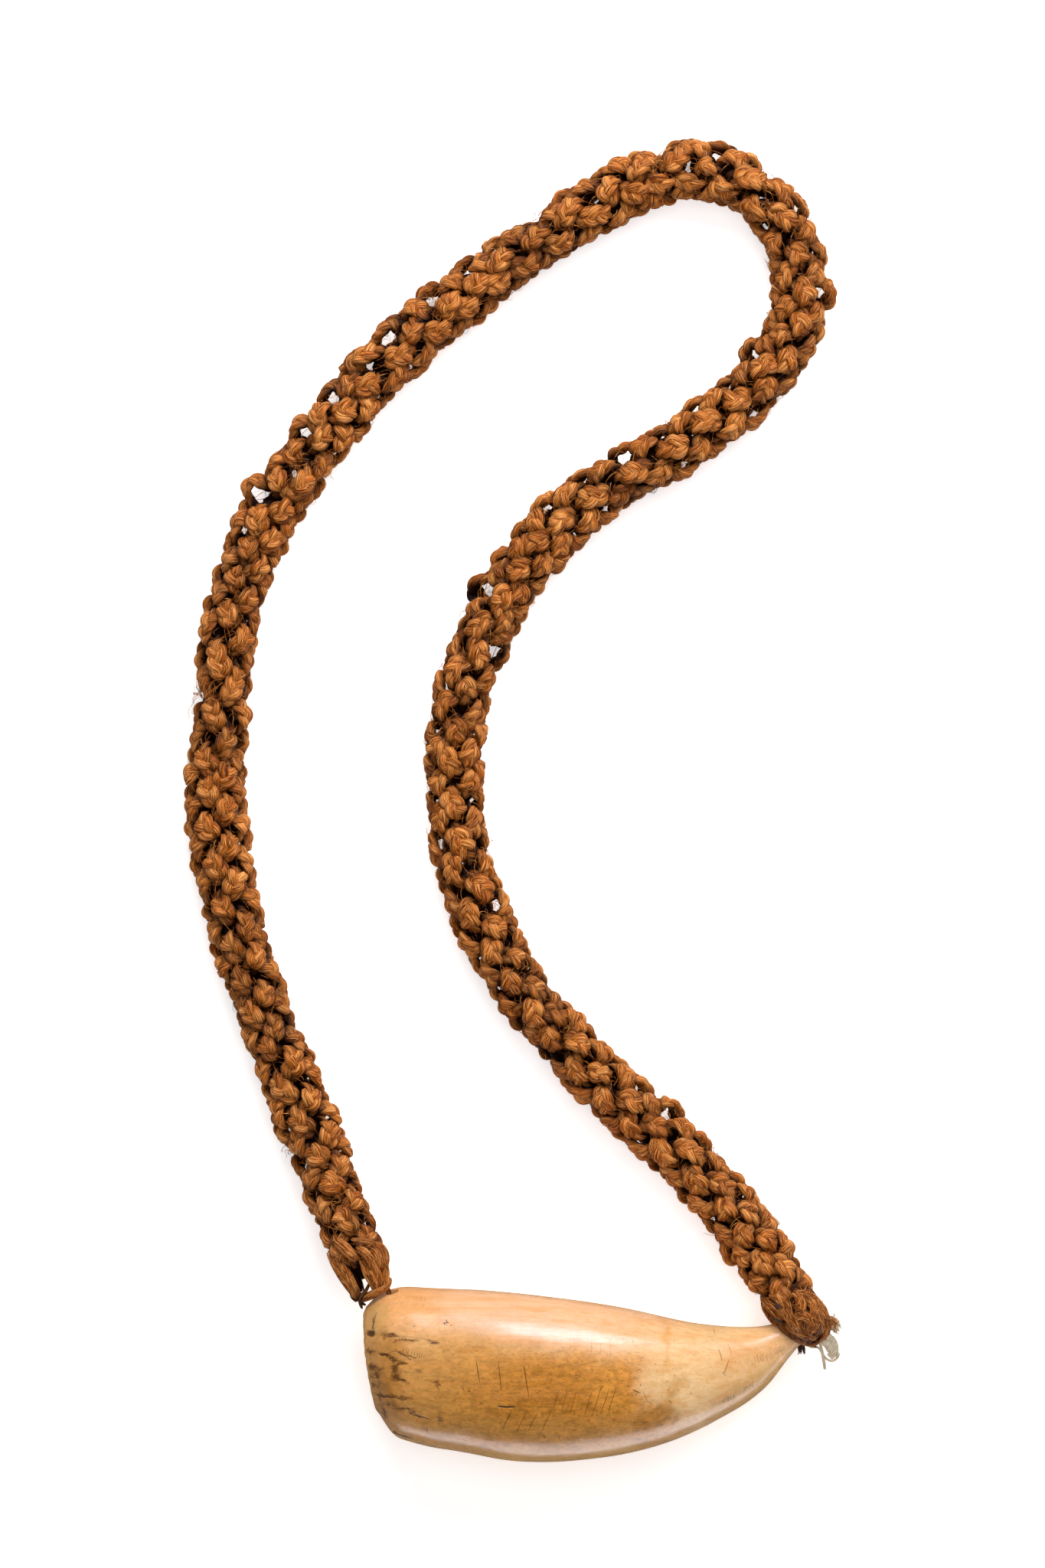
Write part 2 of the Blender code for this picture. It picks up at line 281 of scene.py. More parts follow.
def write_mask(mesh: Mesh, name: str, values: Array) -> None:
    """Write a value for each of a mesh's points as an attribute."""
    mesh.attributes.new(name, "FLOAT", "POINT").data.foreach_set("value", values.astype(np.float32))


def write_map(mesh: Mesh, name: str, layout: Array) -> None:
    """Write a UV map with a place for each of a mesh's corners."""
    mesh.uv_layers.new(name=name).data.foreach_set("uv", layout.astype(np.float32).reshape(-1))


def place_object(name: str, data: Any) -> Object:
    """Put a new object with its data in the scene."""
    made = bpy.data.objects.new(name, data)
    bpy.context.scene.collection.objects.link(made)
    return made


def add_piece(name: str, mesh: Mesh, finish: Material, slot: Slot) -> Object:
    """Put a mesh in the scene as a piece that rides with the part.

    Args:
        name: The piece's name.
        mesh: Its mesh, in metres.
        finish: Its material.
        slot: The record's material slot for its finish; it is not used.

    Returns:
        The new object.
    """
    mesh.materials.append(finish)
    made = place_object(name, mesh)
    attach(made, BODY)
    log.info("%s: %d faces", name, len(mesh.polygons))
    return made


@dataclass
class TubeBatch:
    """Collects many closed tubes and makes one mesh of them.

    Each tube is a row of rings. Its bake map lays the bands between rings beside each other in rows, and
    its fibre map holds millimetres along the tube and round it.
    """

    sides: int
    ground: float = 0.25
    band_shape: float = 0.2
    tubes: list[tuple[Array, Array, float, Array, float]] = field(default_factory=list)

    def add(self, rings: Array, along: Array, girth: float, shade: Any, tint: float) -> None:
        """Add one tube of rings by sides by 3, kept above the ground."""
        rings[..., 2] = np.maximum(rings[..., 2], self.ground)
        self.tubes.append((rings, along, girth, np.broadcast_to(shade, rings.shape[:2]), tint))

    def sweep(
        self, middles: Array, normals: Array, half_width: Array, half_thickness: Array, along: Array,
        girth: float, shade: Any, tint: float, lobes: Any = 0.0,
    ) -> None:
        """Add a tube with an oval section that is swept along a line.

        Args:
            middles: The line's points.
            normals: The direction of the section's thickness at each point, roughly.
            half_width: Half the section's width at each point.
            half_thickness: Half its thickness at each point.
            along: How far along the tube each point is, in millimetres.
            girth: The way round it, in millimetres.
            shade: How far out of the recesses it, or each of its points, is, from 0 to 1.
            tint: Its own shade of the colour, from 0 to 1.
            lobes: How much each point of each ring stands out, as a share of its radius.
        """
        ahead = heading(middles)
        across = unit(np.cross(ahead, normals))
        up = np.cross(across, ahead)
        turn = round_angles(self.sides)
        wide = across[:, None] * (np.cos(turn) * half_width[:, None])[..., None]
        thick = up[:, None] * (np.sin(turn) * half_thickness[:, None])[..., None]
        rings = middles[:, None] + (wide + thick) * np.asarray(1 + lobes)[..., None]
        self.add(rings, along, girth, shade, tint)

    def hair(self, points: Array, half: Any, shade: float, tint: float) -> None:
        """Add a single round fibre.

        Args:
            points: Its line.
            half: Its radius, the same all along or one for each point.
            shade: How far out of the recesses it is, from 0 to 1.
            tint: Its own shade of the colour, from 0 to 1.
        """
        radius = np.zeros(len(points)) + half
        normals = np.tile((0.05, 0.02, 1.0), (len(points), 1))
        girth = 2 * math.pi * float(radius.max())
        self.sweep(points, normals, radius, radius, travelled(points), girth, shade, tint)

    def mesh(self, name: str) -> Mesh:
        """Make the mesh of all the tubes so far, in metres.

        Args:
            name: The mesh's name.

        Returns:
            The mesh, with both UV maps and the shade and tint of each point.
        """
        sides = self.sides
        bands = sum(len(rings) - 1 for rings, *_ in self.tubes)
        columns = max(1, math.ceil(math.sqrt(bands / self.band_shape)))
        rows = math.ceil(bands / columns)
        onward = np.array((0, 0, 1, 1))
        around = np.arange(sides)[:, None] + (0, 1, 1, 0)
        corners, bake, fibre, sizes = [], [], [], []
        first = band = 0
        for rings, along, girth, _, _ in self.tubes:
            count = len(rings)
            ring = np.arange(count - 1)[:, None, None]
            corners.append((first + (ring + onward) * sides + around % sides).reshape(-1))
            cell = band + ring
            places = ((cell % columns + onward) / columns, (cell // columns + 0.95 * around / sides) / rows)
            bake.append(np.stack(np.broadcast_arrays(*places), -1).reshape(-1, 2))
            places = (along[ring + onward], girth * around / sides)
            fibre.append(np.stack(np.broadcast_arrays(*places), -1).reshape(-1, 2))
            sizes += [4] * (sides * (count - 1)) + [sides, sides]
            for end, flip, cell in ((0, -1, band), (count - 1, 1, band + count - 2)):
                corners.append(first + end * sides + np.arange(sides)[::flip])
                turn = round_angles(sides)[::flip]
                bake.append(np.column_stack([
                    (cell % columns + 0.5 + 0.4 * np.cos(turn)) / columns,
                    (cell // columns + 0.975 + 0.02 * np.sin(turn)) / rows,
                ]))
                fibre.append(np.column_stack([along[end] + np.cos(turn), np.sin(turn)]))
            first += count * sides
            band += count - 1
        points = np.concatenate([rings.reshape(-1, 3) for rings, *_ in self.tubes]) * MM
        made = bpy.data.meshes.new(name)
        made.vertices.add(len(points))
        made.vertices.foreach_set("co", points.astype(np.float32).reshape(-1))
        flat_corners = np.concatenate(corners)
        totals = np.array(sizes)
        made.loops.add(len(flat_corners))
        made.loops.foreach_set("vertex_index", flat_corners.astype(np.int32))
        made.polygons.add(len(totals))
        made.polygons.foreach_set("loop_start", (np.cumsum(totals) - totals).astype(np.int32))
        made.polygons.foreach_set("loop_total", totals.astype(np.int32))
        made.update(calc_edges=True)
        write_map(made, BAKE_MAP, np.concatenate(bake))
        write_map(made, FIBRE_MAP, np.concatenate(fibre))
        write_mask(made, "shade", np.concatenate([shade.reshape(-1) for *_, shade, _ in self.tubes]))
        tints = [np.full(shade.size, tint) for *_, shade, tint in self.tubes]
        write_mask(made, "tint", np.concatenate(tints))
        made.shade_smooth()
        made.validate()
        return made


# Finishes


@dataclass(frozen=True)
class Finish:
    """A material that is made of nodes."""

    name: str

    def make(self) -> Material:
        """Make the material."""
        made = bpy.data.materials.new(self.name)
        made.use_nodes = True
        shader = made.node_tree.nodes["Principled BSDF"]
        set_inputs(shader, self.dress(partial(add_node, made.node_tree)))
        return made

    def dress(self, add: AddNode) -> dict[str, Any]:
        """Add the nodes and return the shader's inputs by name."""
        raise NotImplementedError


@dataclass(frozen=True)
class CoirFinish(Finish):
    """Retted coconut husk fibre, combed and laid side by side, then plaited.

    It gives the eye fine parallel lines with a dry gloss, golden where the light runs along a fibre,
    orange-brown on the whole, with painted shade that turns it nearly black in the recesses.
    """

    dark: str = "502004"
    middle: str = "BE6310"
    light: str = "FFB769"
    painted_shade_and_dark_fibre: str = "1A0702"
    fibre_width: float = 0.21
    fibre_length: float = 6.0
    bundle_width: float = 1.5
    hair_width: float = 0.17
    hair_length: float = 3.4
    roughness: float = 0.48
    relief: float = 0.5

    def dress(self, add: AddNode) -> dict[str, Any]:
        """Add the nodes.

        Args:
            add: Adds a node to the material.

        Returns:
            The shader's inputs, by name.
        """
        tint = add("Attribute", output="Fac", attribute_name="tint")
        own = add("CombineXYZ", {"Z": tint})
        place = add("UVMap", uv_map=FIBRE_MAP)
        apart = add("VectorMath", (own, (0.0, 0.0, 97.0), place), operation="MULTIPLY_ADD")
        fine, coarse, bundle, gap, hair, crossing = (
            streaks(add, apart, (length, width, 1.0), lean, 1.5, 0.5)
            for width, length, lean in (
                (self.fibre_width, self.fibre_length, 0.05),
                (1.4 * self.fibre_width, 0.7 * self.fibre_length, -0.09),
                (self.bundle_width, 3 * self.fibre_length, 0.0),
                (1.2 * self.fibre_width, self.fibre_length, 0.14),
                (self.hair_width, self.hair_length, 0.52),
                (self.hair_width, self.hair_length, -0.40),
            )
        )
        fibres = add("Math", (fine, coarse), operation="MAXIMUM")
        bundles = add("Math", (bundle, 0.2), operation="MULTIPLY")
        fibres = add("Math", (fibres, 0.8, bundles), operation="MULTIPLY_ADD")
        parted = add("MapRange", (gap, 0.38, 0.48, -0.14, 0.0))
        fibres = add("Math", (fibres, parted), operation="ADD")
        colour = add("ValToRGB", (add("Math", (tint, 0.08, fibres), operation="MULTIPLY_ADD"),))
        set_stops(colour.node.color_ramp, ((0.42, self.dark), (0.56, self.middle), (0.70, self.light)))
        stray = add("MapRange", (add("Math", (hair, crossing), operation="MAXIMUM"), 0.62, 0.68, 0.0, 0.75))
        shade = add("Attribute", output="Fac", attribute_name="shade")
        # Mostly painted shade: points with a low shade value, deep in the cord or under other fibres, darken
        # to nearly black; the root lashing's tails use it for their own darker colour.
        deep = add("MapRange", (shade, 0.58, 1.02, 1.0, 0.0), interpolation_type="SMOOTHSTEP")
        for stain, amount in ((self.light, stray), (self.painted_shade_and_dark_fibre, deep)):
            colour = add("Mix", {0: amount, 6: colour, 7: linear(stain)}, 2, data_type="RGBA")
        height = add("Math", (stray, 0.25, fibres), operation="MULTIPLY_ADD")
        relief = add("Bump", {"Strength": 0.9, "Distance": self.relief * MM, "Height": height})
        return {
            "Base Color": colour, "Roughness": self.roughness, "Specular IOR Level": 0.2, "Normal": relief,
        }


@dataclass(frozen=True)
class CottonFinish(Finish):
    """Unbleached cotton, spun and loosely twisted, greyed with dirt on its frays and with painted shade on
    its undersides.

    It gives the eye a matt, pale beige with dark lines between its yarns.
    """

    dark: str = "B19A74"
    light: str = "F2E2C6"
    dust_and_shade: str = "55443E"
    yarn_width: float = 0.3
    yarn_length: float = 2.5
    relief: float = 0.2

    def dress(self, add: AddNode) -> dict[str, Any]:
        """Add the nodes.

        Args:
            add: Adds a node to the material.

        Returns:
            The shader's inputs, by name.
        """
        place = add("UVMap", uv_map=FIBRE_MAP)
        yarn = streaks(add, place, (self.yarn_length, self.yarn_width, 1.0), 0.5, 2.0)
        colour = add("ValToRGB", (yarn,))
        set_stops(colour.node.color_ramp, ((0.25, self.dark), (0.58, self.light)))
        # The frays' low shade values stand for dirt on them; the low values on the runs' undersides are
        # painted shade.
        dust_and_shade_share = add("MapRange", (add("Attribute", output="Fac", attribute_name="shade"), 0.5, 0.9, 1.0, 0.0))
        colour = add("Mix", {0: dust_and_shade_share, 6: colour, 7: linear(self.dust_and_shade)}, 2, data_type="RGBA")
        relief = add("Bump", {"Strength": 0.6, "Distance": self.relief * MM, "Height": yarn})
        return {"Base Color": colour, "Roughness": 0.85, "Specular IOR Level": 0.2, "Normal": relief}


@dataclass(frozen=True)
class PaperFinish(Finish):
    """White background paper, matt, and lit from behind so that it stays pale.

    It gives the eye a plain white ground that still takes a soft shadow.
    """

    glow: float = 0.5

    def dress(self, add: AddNode) -> dict[str, Any]:
        """Add the nodes.

        Args:
            add: Adds a node to the material.

        Returns:
            The shader's inputs, by name.
        """
        colour = add("ValToRGB", (add("TexNoise", {"Scale": 40.0, "Detail": 2.0}),))
        set_stops(colour.node.color_ramp, ((0.0, "FAFAFA"), (1.0, "FFFFFF")))
        return {
            "Base Color": colour, "Roughness": 0.9, "Specular IOR Level": 0.1,
            "Emission Color": linear("FFFFFF"), "Emission Strength": self.glow,
        }


@dataclass(frozen=True)
class IvoryFinish(Finish):
    """Whale tooth ivory, ground, rubbed with oil and polished by long handling.

    It gives the eye a warm honey tone that runs in faint lengthwise streaks under a soft gloss, mottled
    and specked with dirt where it is worn, with dirt in its scratches and brown stain at the root end.
    """

    scratch: str = "38220E"
    rust: str = "A85A17"
    stain: str = "74480F"
    dark_stain: str = "2E1A06"
    speck: str = "4A2C10"
    blot: str = "8E5A22"
    hairline: str = "7A4E1C"
    streak_tone: str = "E29A4C"
    grain_width: float = 0.9
    grain_length: float = 14.0
    cloud_size: float = 7.0
    mottle_size: float = 1.7
    blot_size: Point = (1.5, 0.9, 0.9)
    speck_spacing: float = 0.72
    speck_radius: float = 0.17
    pit_spacing: float = 4.6
    pit_radius: float = 0.28
    hairline_width: float = 0.16
    hairline_length: float = 2.6
    crack_width: float = 0.32
    crack_length: float = 3.6
    roughness: float = 0.21
    relief: float = 0.05
    glow_depth: float = 3.0

    def pattern(self, add: AddNode, size: Point, detail: float, turn: float = 0.0) -> NodeSocket:
        """Add noise in the tooth's own millimetres, turned by some degrees about z."""
        place = add("TexCoord", output="Object")
        return streaks(add, place, tuple(MM * step for step in size), math.radians(turn), detail)

    def dots(self, add: AddNode, spacing: float, radius: float, share: NodeSocket) -> NodeSocket:
        """Scatter round dots, with one place for a dot in each cell.

        Args:
            add: Adds a node to the material.
            spacing: The cells' size in millimetres.
            radius: The dots' radius in millimetres.
            share: The share of the cells that have a dot.

        Returns:
            The output, 1 in a dot and 0 between them.
        """
        place = add("TexCoord", output="Object")
        far = add("TexVoronoi", {"Vector": place, "Scale": 1 / (MM * spacing)}, "Distance")
        near = add("MapRange", (far, radius / spacing, 0.5 * radius / spacing, 0.0, 1.0))
        lot = add("SeparateColor", (far.node.outputs["Color"],))
        chosen = add("Math", (lot, share), operation="LESS_THAN")
        return add("Math", (near, chosen), operation="MULTIPLY")

    def hairlines(self, add: AddNode) -> NodeSocket:
        """Scatter short fine scratches in several directions.

        Args:
            add: Adds a node to the material.

        Returns:
            The output, 1 in a scratch and 0 between them.
        """
        found: Any = 0.0
        for number, turn in enumerate((12.0, 64.0, 101.0, 148.0)):
            stretch = (self.hairline_length * (1 + 0.2 * number), self.hairline_width, 3.0)
            line = add("MapRange", (self.pattern(add, stretch, 1.0, turn), 0.69, 0.77, 0.0, 1.0))
            found = add("Math", (found, line), operation="MAXIMUM")
        return found

    def dress(self, add: AddNode) -> dict[str, Any]:
        """Add the nodes.

        Args:
            add: Adds a node to the material.

        Returns:
            The shader's inputs, by name.
        """
        marks, rust, stained, dull, mottled = (
            add("Attribute", output="Fac", attribute_name=name)
            for name in ("marks", "rust", "stained", "dull", "mottled")
        )
        width, mottling = self.grain_width, self.mottle_size
        grain, streak, cloud, mottle, patch, along, across, blotched = (
            self.pattern(add, size, detail)
            for size, detail in (
                ((self.grain_length, width, width), 4.0),
                ((3 * self.grain_length, 3 * width, 3 * width), 3.0),
                ((1.5 * self.cloud_size, self.cloud_size, self.cloud_size), 4.0),
                ((1.8 * mottling, mottling, mottling), 8.0),
                ((3.2 * mottling, 2.0 * mottling, 4.0), 4.0),
                ((self.crack_length, self.crack_width, self.crack_width), 3.0),
                ((self.crack_width, self.crack_length / 2, self.crack_width), 2.0),
                (self.blot_size, 5.0),
            )
        )
        hairline = self.hairlines(add)
        dirt = add("MapRange", (mottled, 0.0, 1.0, 0.25, 0.75))
        # Specks crowd together in the patches, and a few larger pits lie among them.
        crowd = add("Math", (dirt, add("MapRange", (patch, 0.60, 0.36, 0.3, 1.3))), operation="MULTIPLY")
        speck = self.dots(add, self.speck_spacing, self.speck_radius, crowd)
        faded = add("MapRange", (mottle, 0.35, 0.65, 0.75, 0.2))
        speck = add("Math", (speck, faded), operation="MULTIPLY")
        few = add("Math", (dirt, 0.2), operation="MULTIPLY")
        pits = self.dots(add, self.pit_spacing, self.pit_radius, few)
        pit = add("Math", (pits, 0.8), operation="MULTIPLY")
        speck = add("Math", (speck, pit), operation="MAXIMUM")
        # The stain soaks into fine cracks first, and is darkest where it is thickest.
        cracks = add("Math", (across, 0.93), operation="MULTIPLY")
        cracks = add("Math", (along, cracks), operation="MAXIMUM")
        edge = add("Math", (stained, 0.46, cracks), operation="MULTIPLY_ADD")
        soaked = add("MapRange", (edge, 0.62, 0.86, 0.0, 0.92))
        bases = (
            add("MapRange", (mottle, 0.42, 0.58, -0.20, 0.12)),
            add("MapRange", (patch, 0.38, 0.60, -0.14, 0.12)),
        )
        uneven = add("Math", (add("Math", bases, operation="ADD"), mottled, 1.0), operation="MULTIPLY_ADD")
        blotted = add("MapRange", (blotched, 0.52, 0.68, 0.0, 0.7))
        colour = add("Attribute", output="Color", attribute_name="tone")
        for stain, amount in (
            ("", add("MapRange", (cloud, 0.3, 0.7, 0.92, 1.06))),
            ("", uneven),
            (self.streak_tone, add("MapRange", (grain, 0.50, 0.72, 0.0, 0.45))),
            (self.streak_tone, add("MapRange", (streak, 0.48, 0.66, 0.0, 0.4))),
            ("", add("MapRange", (grain, 0.3, 0.5, 0.95, 1.0))),
            (self.hairline, add("Math", (hairline, dirt), operation="MULTIPLY")),
            (self.blot, add("Math", (blotted, mottled), operation="MULTIPLY")),
            (self.speck, speck),
            (self.rust, rust),
            (self.stain, soaked),
            (self.dark_stain, add("MapRange", (edge, 0.84, 1.04, 0.0, 0.9))),
            (self.scratch, marks),
        ):
            if stain:
                colour = add("Mix", {0: amount, 6: colour, 7: linear(stain)}, 2, data_type="RGBA")
            else:
                colour = add("VectorMath", {0: colour, "Scale": amount}, operation="SCALE")
        worn = add("Math", (speck, soaked), operation="MAXIMUM")
        fine = add("Math", (hairline, 0.6), operation="MULTIPLY")
        worn = add("Math", (worn, fine), operation="MAXIMUM")
        polish = add("MapRange", (cloud, 0.3, 0.7, self.roughness - 0.03, self.roughness + 0.05))
        rough = add("Math", (dull, 0.15, polish), operation="MULTIPLY_ADD")
        rough = add("Math", (worn, 0.3, rough), operation="MULTIPLY_ADD")
        ribs = add("Math", (grain, 0.5), operation="MULTIPLY")
        height = add("Math", (worn, -1.0, ribs), operation="MULTIPLY_ADD")
        relief = add("Bump", {"Strength": 0.5, "Distance": self.relief * MM, "Height": height})
        return {
            "Base Color": colour, "Roughness": rough, "Specular IOR Level": 0.5, "Normal": relief,
            "Subsurface Weight": 0.12, "Subsurface Radius": (1.0, 0.5, 0.25),
            "Subsurface Scale": self.glow_depth * MM,
        }


# The tooth


@dataclass(frozen=True)
class Wash:
    """A soft area of its own tone on the upper side of the tooth, in millimetres."""

    colour: str
    middle: Place
    reach: Place
    strength: float = 1.0
    softness: float = 0.6
    lean: float = 0.0
    mottling: float = 0.3

    def weight(self, places: Array) -> Array:
        """Say how much of the tone each place takes.

        Args:
            places: The x and y of each place.

        Returns:
            The shares, from 0 to 1.
        """
        offset = places - self.middle
        along = offset[:, 0] * math.cos(self.lean) + offset[:, 1] * math.sin(self.lean)
        aside = offset[:, 1] * math.cos(self.lean) - offset[:, 0] * math.sin(self.lean)
        far = np.hypot(along / self.reach[0], aside / self.reach[1])
        share = np.clip((1 - far) / self.softness + 0.5, 0.0, 1.0)
        return self.strength * share * share * (3 - 2 * share)


@dataclass(frozen=True)
class Stroke:
    """A scratched line on the upper side of the tooth, in millimetres."""

    points: tuple[Place, ...]
    width: float = 0.34
    depth: float = 0.10
    darkness: float = 0.8
    rusty: bool = False

    def measured(self, places: Array, reach: float) -> tuple[Array, Array, Array]:
        """Measure the places about the line.

        Args:
            places: The x and y of each place.
            reach: How far from the line a place may be.

        Returns:
            The numbers of the places near it, how far each is from it and the share of it passed there.
        """
        line = np.array(self.points)
        along = travelled(line)
        low, high = line.min(axis=0) - reach, line.max(axis=0) + reach
        near = np.flatnonzero(np.all((places > low) & (places < high), axis=1))
        nearest = np.full(len(near), math.inf)
        passed = np.zeros(len(near))
        for start, run, before in zip(line[:-1], np.diff(line, axis=0), along):
            share = np.clip((places[near] - start) @ run / (run @ run), 0.0, 1.0)
            far = np.linalg.norm(places[near] - start - share[:, None] * run, axis=1)
            passed = np.where(far < nearest, (before + share * np.linalg.norm(run)) / along[-1], passed)
            nearest = np.minimum(nearest, far)
        return near, nearest, passed

    def profile(self, places: Array) -> Array:
        """Say how deep in the stroke each place is.

        Args:
            places: The x and y of each place.

        Returns:
            The depths, from 0 outside the stroke to 1 at its bottom.
        """
        near, far, passed = self.measured(places, 3 * self.width)
        width = self.width / 2 * (0.4 + 0.6 * np.sqrt(np.maximum(np.sin(math.pi * passed), 0.0)))
        deepest = np.zeros(len(places))
        deepest[near] = np.exp(-((far / width) ** 4))
        return deepest


@dataclass(frozen=True)
class StrokeRow:
    """A row of separate short strokes, in millimetres and degrees."""

    start: Place
    end: Place
    count: int
    length: float
    slant: float
    width: float = 0.34
    depth: float = 0.10
    darkness: float = 0.8
    rusty: bool = False
    unevenness: float = 0.25

    def strokes(self, rng: Rng) -> list[Stroke]:
        """Lay the row's strokes.

        Args:
            rng: Seeded source of randomness.

        Returns:
            The strokes.
        """
        start, end = np.array(self.start), np.array(self.end)
        laid = []
        for number in range(self.count):
            share = (number + self.unevenness * rng.uniform(-1, 1)) / max(1, self.count - 1)
            middle = start + share * (end - start)
            slant = math.radians(self.slant * (1 + self.unevenness * rng.uniform(-0.12, 0.12)))
            half = self.length / 2 * (1 + 1.6 * self.unevenness * rng.uniform(-1, 1))
            way = np.array((math.cos(slant), math.sin(slant))) * half
            bow = np.array((-way[1], way[0])) * rng.uniform(-0.06, 0.06)
            points = tuple(tuple(point) for point in (middle - way, middle + bow, middle + way))
            fade = self.darkness * (1 - self.unevenness * rng.random())
            laid.append(Stroke(points, self.width, self.depth, fade, self.rusty))
        return laid


